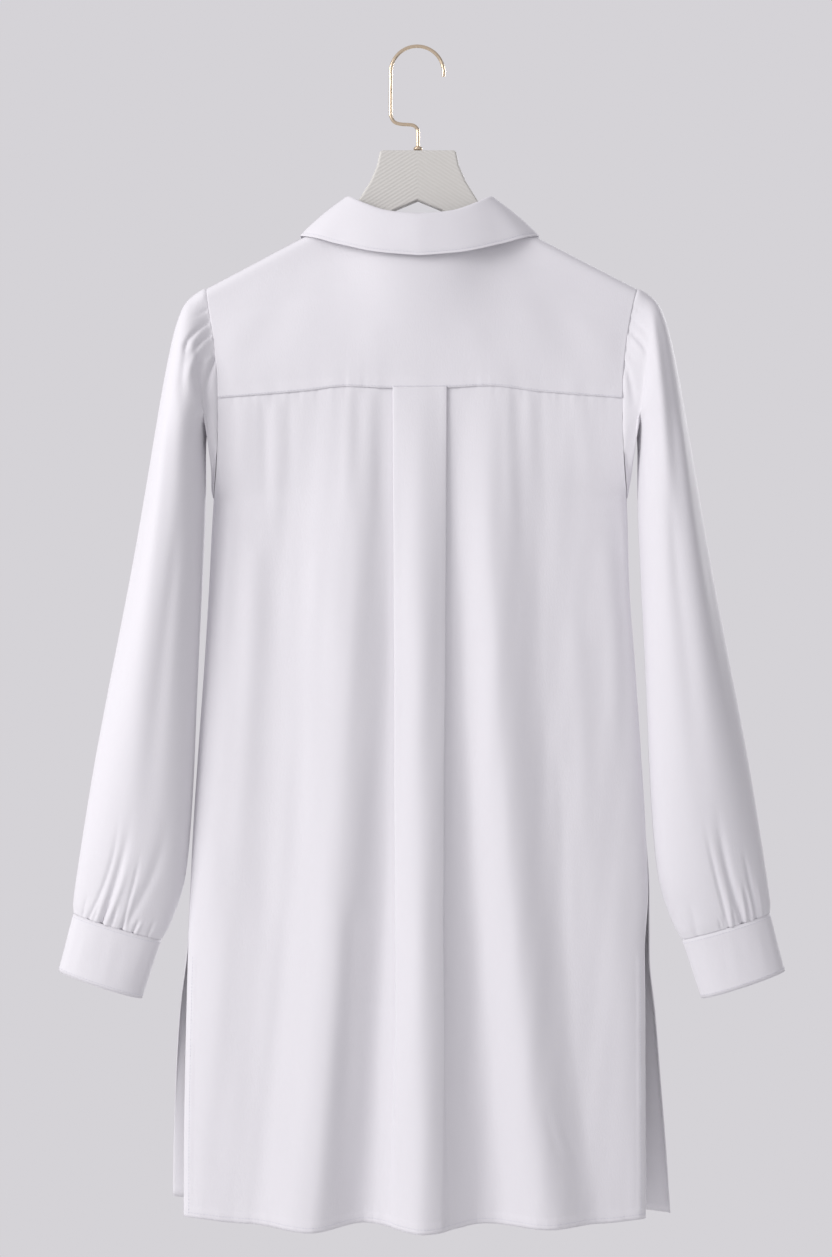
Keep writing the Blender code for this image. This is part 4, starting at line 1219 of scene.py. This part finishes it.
def turned_button(finish):
    """One button that faces up from the origin: a disc with a rounded rim and a sunk middle."""
    bpy.ops.object.select_all(action='DESELECT')
    bpy.ops.mesh.primitive_cylinder_add(vertices=40, radius=BUTTON_RADIUS, depth=BUTTON_THICKNESS,
                                        location=(0, 0, BUTTON_THICKNESS / 2))
    made = named("button_turned", finish)
    bpy.ops.object.transform_apply(location=True, rotation=True, scale=True)
    bpy.ops.object.mode_set(mode='EDIT')
    bpy.ops.mesh.select_mode(type='FACE')
    bpy.ops.mesh.select_all(action='DESELECT')
    bpy.ops.object.mode_set(mode='OBJECT')
    for face in made.data.polygons:
        face.select = face.normal.z > 0.9
    bpy.ops.object.mode_set(mode='EDIT')
    bpy.ops.mesh.inset(thickness=BUTTON_RIM)
    bpy.ops.mesh.inset(thickness=BUTTON_SLOPE, depth=-BUTTON_SUNK)
    bpy.ops.object.mode_set(mode='OBJECT')
    rounded(made, BUTTON_ROUNDING, 4, 25)
    bpy.ops.object.shade_smooth()
    return made


def button(name, place, outward):
    """A copy of the turned button, laid on the cloth."""
    made = first_button.copy()
    made.data = first_button.data.copy()
    made.name = made.data.name = name
    turn = Vector((0, 0, 1)).rotation_difference(Vector(outward).normalized())
    made.data.transform(Matrix.Translation(place) @ turn.to_matrix().to_4x4())
    bpy.context.scene.collection.objects.link(made)
    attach(made, "root")
    return made


def thread_pair(place, outward):
    """Two short threads over a button's middle."""
    turn = Vector((0, 0, 1)).rotation_difference(Vector(outward).normalized())
    parts = []
    for middle in (-1.1, 1.1):
        block = []
        for z in (1.0, 1.75):
            for across, along_it in SQUARE:
                corner = Vector((across * 1.1, along_it * 0.28 + middle, z)) * MM
                block.append(Vector(place) + turn @ corner)
        parts.append((block, BLOCK_FACES))
    return parts


def feed(tree, node, inputs):
    """Gives a shader node its inputs: another node's output is linked, a value is set."""
    for name, value in inputs.items():
        if isinstance(value, bpy.types.NodeSocket):
            tree.links.new(value, node.inputs[name])
        else:
            node.inputs[name].default_value = value


def added(tree, kind, inputs, output, **settings):
    """Adds a shader node with its settings and inputs, and gives the named output."""
    node = tree.nodes.new(kind)
    for name, value in settings.items():
        setattr(node, name, value)
    feed(tree, node, inputs)
    return node.outputs[output]


def plain_material(name, colour, roughness, metallic=0.0):
    """An even finish."""
    made = bpy.data.materials.new(name)
    made.use_nodes = True
    feed(made.node_tree, made.node_tree.nodes["Principled BSDF"],
         {"Base Color": colour, "Roughness": roughness, "Metallic": metallic})
    return made


def cloth_material():
    """Fine plain weave: soft sheen, and a relief of threads too fine to see from afar."""
    made = plain_material("white_cloth", (0.72, 0.706, 0.742, 1.0), 0.72)
    tree = made.node_tree
    place = added(tree, "ShaderNodeTexCoord", {}, "Object")
    place = added(tree, "ShaderNodeMapping", {"Vector": place, "Scale": (1.0, 1.0, 0.45)}, "Vector")
    slub = added(tree, "ShaderNodeTexNoise", {"Vector": place, "Scale": 700.0, "Detail": 3.0},
                 "Fac")
    relief = added(tree, "ShaderNodeBump", {"Strength": 0.3, "Distance": 0.0004, "Height": slub},
                   "Normal")
    feed(tree, tree.nodes["Principled BSDF"],
         {"Sheen Weight": 0.08, "Sheen Roughness": 0.45, "Specular IOR Level": 0.3,
          "Normal": relief})
    return made


def chevron_material():
    """Painted plate with fine slanting grooves that meet on its middle line; the grooves' shade and
    light are also painted into its colour.
    """
    made = plain_material("greige_paint", (0.33, 0.30, 0.27, 1.0), 0.5)
    tree = made.node_tree

    def sum_node(operation, *values):
        return added(tree, "ShaderNodeMath", dict(enumerate(values)), 0, operation=operation)

    place = added(tree, "ShaderNodeTexCoord", {}, "Object")
    across = added(tree, "ShaderNodeSeparateXYZ", {"Vector": place}, "X")
    up = across.node.outputs["Z"]
    slant = sum_node('MULTIPLY_ADD', sum_node('ABSOLUTE', across), GROOVE_SLANT, up)
    groove = sum_node('SINE', sum_node('MULTIPLY', slant, 2 * math.pi / GROOVE_PITCH))
    relief = added(tree, "ShaderNodeBump", {"Strength": 0.12, "Distance": 0.0008, "Height": groove},
                   "Normal")
    # Colour from the groove's height, darker in its hollow and lighter on its crest: painted shade
    # and painted light.
    tone = added(tree, "ShaderNodeMapRange",
                 {"From Min": -1.0, "To Min": 0.0, "To Max": 1.0, "Value": groove}, "Result")
    feed(tree, tree.nodes["Principled BSDF"],
         {"Normal": relief, "Base Color": blend(tree, tone, GROOVE_PAINTED_SHADE, CREST_PAINTED_LIGHT)})
    return made


def blend(tree, share, low, high):
    """A colour between two others."""
    return added(tree, "ShaderNodeMix", {"A": low, "B": high, "Factor": share}, "Result",
                 data_type='RGBA')


def hanger_plate(finish):
    """The flat plate: its outline filled, extruded to its thickness and rounded at the edges."""
    half = hanger_outline()
    ring = half + [(-x, z) for x, z in half[-2:0:-1]]
    places = [(x * MM, -PLATE_THICKNESS / 2, z * MM) for x, z in ring]
    made = drawn_ring("plate_painted", places, finish)
    bpy.ops.mesh.edge_face_add()
    bpy.ops.mesh.extrude_region_move(TRANSFORM_OT_translate={"value": (0, PLATE_THICKNESS, 0)})
    end_with_faces_out()
    rounded(made, PLATE_ROUNDING, 4, 50)
    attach(made, "root")
    return made


def wire_hook(finish):
    """The bent wire, round and capped, made into a mesh."""
    route = hook_route()
    fine = [smooth_row(route, i + t) for i in range(len(route) - 1) for t in (0, 0.25, 0.5, 0.75)]
    fine.append(np.array(route[-1]))
    line = bpy.data.curves.new("hook_wire", 'CURVE')
    line.dimensions = '3D'
    line.bevel_depth = WIRE_RADIUS
    line.bevel_resolution = 6
    line.use_fill_caps = True
    line.materials.append(finish)
    spline = line.splines.new('POLY')
    spline.points.add(len(fine) - 1)
    for place, (x, z) in zip(spline.points, fine):
        place.co = (x, 0.0, z, 1.0)
    alone(linked("hook_wire", line))
    bpy.ops.object.convert(target='MESH')
    made = bpy.context.object
    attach(made, "root")
    return made


def bead(finish):
    """The turned bead: its profile spun round the stem."""
    profile = ((1.7, 0.0), (3.3, 0.0), (3.8, 0.3), (4.2, 0.9), (4.3, 1.5), (4.1, 2.1), (3.6, 2.8),
               (3.0, 3.3), (2.3, 3.6), (1.7, 3.6))
    places = [(radius * MM, 0, (BEAD_BOTTOM + high) * MM) for radius, high in profile]
    made = drawn_ring("stem_bead", places, finish)
    bpy.ops.mesh.spin(steps=BEAD_SIDES, angle=2 * math.pi, center=(0, 0, 0), axis=(0, 0, 1))
    bpy.ops.mesh.select_all(action='SELECT')
    bpy.ops.mesh.remove_doubles(threshold=0.01 * MM)
    end_with_faces_out()
    bpy.ops.object.shade_smooth()
    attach(made, "root")
    return made


def area_light(name, place, target, width, watts, colour):
    data = bpy.data.lights.new(name, 'AREA')
    data.shape = 'RECTANGLE'
    data.size = data.size_y = width
    data.energy = watts
    data.color = colour
    item = linked(name, data)
    item.location = place
    item.rotation_euler = (Vector(target) - Vector(place)).to_track_quat('-Z', 'Y').to_euler()


def studio():
    """Camera, pale surroundings that darken to one side, floor and lights."""
    data = bpy.data.cameras.new("camera")
    data.sensor_fit = 'VERTICAL'
    data.angle = 2 * math.atan(CAMERA_HALF_HEIGHT)
    camera = linked("camera", data)
    camera.location = CAMERA_AT
    camera.rotation_euler = (math.radians(90), 0, math.radians(180))
    bpy.context.scene.camera = camera

    world = bpy.data.worlds.new("studio")
    world.use_nodes = True
    tree = world.node_tree
    place = added(tree, "ShaderNodeTexCoord", {}, "Generated")
    across = added(tree, "ShaderNodeSeparateXYZ", {"Vector": place}, "X")
    fade = added(tree, "ShaderNodeMapRange",
                 {"From Min": -0.9, "From Max": -0.2, "Value": across}, "Result",
                 interpolation_type='SMOOTHSTEP')
    feed(tree, tree.nodes["Background"], {"Color": blend(tree, fade, SKY_SHADE, SKY_TONE)})
    bpy.context.scene.view_settings.view_transform = 'Standard'
    bpy.context.scene.world = world

    bpy.ops.object.select_all(action='DESELECT')
    bpy.ops.mesh.primitive_plane_add(size=FLOOR_SIZE, location=(0, 0, FLOOR_Z))
    floor = named("floor", plain_material("floor_pale", (0.72, 0.72, 0.72, 1.0), 0.9))
    bpy.ops.object.transform_apply(location=True, rotation=True, scale=True)
    floor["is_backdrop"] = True

    for name, place, target_z, width, watts, colour in LIGHTS:
        area_light(name, place, (0, 0, target_z), width, watts, colour)


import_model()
studio()
cloth = cloth_material()
# The white thread is made darker than the cloth: painted shade along the stitch lines.
thread = plain_material("thread_white_painted_shade", (0.62, 0.62, 0.68, 1.0), 0.6)
resin = plain_material("button_white", (0.80, 0.80, 0.80, 1.0), 0.22)
paint = chevron_material()
metal = plain_material("champagne_metal", (0.66, 0.54, 0.40, 1.0), 0.3, 1.0)

back = back_panel_rows()
yoke = yoke_rows()
left_front = front_rows(1, under_lift)
right_front = front_rows(-1, lambda x: 0.0)
band = placket_rows(right_front)
cuffs = {1: cuff_rows(1), -1: cuff_rows(-1)}
leaf = leaf_rows()

grids = {
    "back_panel": back, "back_yoke": yoke, "front_left": left_front, "front_right": right_front,
    "placket": band, "sleeve_left": sleeve_rows(1), "sleeve_right": sleeve_rows(-1),
    "cuff_left": cuffs[1], "cuff_right": cuffs[-1], "collar_stand": stand_rows(),
    "collar_leaf": leaf,
}
for node, rows in grids.items():
    name = "button_band" if node == "placket" else node
    made = shell(name + "_cloth", rows, cloth, ring=node.startswith("sleeve"))
    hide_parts(node)

seams = row_stitches(yoke, behind, up=0.9, inset=0.3)
seams += row_stitches(back, behind, up=1.5, inset=2, count=400)
slit = level_row(back, SLIT_STITCH_LEVEL)
seams += column_stitches(back, behind, start=slit, up=1, inset=4.6, count=160)
fronts = row_stitches(left_front, before, up=1.4, inset=1)
fronts += row_stitches(right_front, before, up=1.4, inset=1)
fronts += column_stitches(band, before, start=1, up=0.5, inset=0.8)
trims = row_stitches(leaf, from_neck, up=3, inset=1.5, count=400, pitch=COLLAR_STITCH_PITCH)
trimmings = {"back_panel": [joined("back_stitches", seams, thread)],
             "front_right": [joined("front_stitches", fronts, thread)],
             "collar_leaf": [joined("collar_stitches", trims, thread)]}

for side, word in ((1, "left"), (-1, "right")):
    rows = cuffs[side]
    centre = np.mean([tuple(p) for p in rows[len(rows) // 2]], axis=0)

    def from_wrist(place, centre=centre):
        return np.array([place[0] - centre[0], place[1] - centre[1], 0.0])

    parts = []
    for up in (len(rows) - 1.8, 0.8):
        parts += row_stitches(rows, from_wrist, up, inset=0.5)
    trimmings["cuff_" + word] = [joined("cuff_stitches_" + word, parts, thread)]

first_button = turned_button(resin)
middles = [Vector(row[BAND_COLUMNS // 2]) for row in band]
buttons = []
threads = []
for number in range(1, BUTTONS + 1):
    low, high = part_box("button_%d" % number)
    centre = (Vector(low) + Vector(high)) / 2
    nearest = min(range(1, len(middles) - 1), key=lambda i: abs(middles[i].z - centre.z))
    slope = (middles[nearest + 1] - middles[nearest - 1]).normalized()
    outward = forward(Vector((1, 0, 0)).cross(slope))
    place = middles[nearest] + slope * (centre.z - middles[nearest].z) / slope.z
    place += outward * (CLOTH / 2 + BUTTON_GAP)
    made = button("button_round_%d" % number, place, outward)
    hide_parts("button_%d" % number)
    buttons.append(made)
    threads += thread_pair(place, outward)
trimmings["placket"] = buttons + [joined("button_threads", threads, thread)]

for side, word in ((1, "left"), (-1, "right")):
    shape = [(a + b) / 2 for a, b in zip(CUFF_TOP, CUFF_BOTTOM)]
    here = Vector(oval(*shape, CUFF_BUTTON_TURN, CUFF_LAP, side))
    step = Vector(oval(*shape, CUFF_BUTTON_TURN + 0.1, CUFF_LAP, side)) - here
    down = Vector(oval(*CUFF_BOTTOM, CUFF_BUTTON_TURN, CUFF_LAP, side)) - here
    outward = forward(step.cross(down))
    place = here + outward * (CLOTH / 2 + CUFF_BUTTON_GAP)
    made = button("cuff_button_round_" + word, place, outward)
    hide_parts("cuff_button_" + word)
    trimmings["cuff_" + word].append(made)
bpy.data.objects.remove(first_button)

for made, node, slot in ((hanger_plate(paint), "hanger_plate", "greige_paint"),
                         (wire_hook(metal), "hook", "champagne_metal"),
                         (bead(metal), "hook_collar", "champagne_metal")):
    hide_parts(node)

low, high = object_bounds()
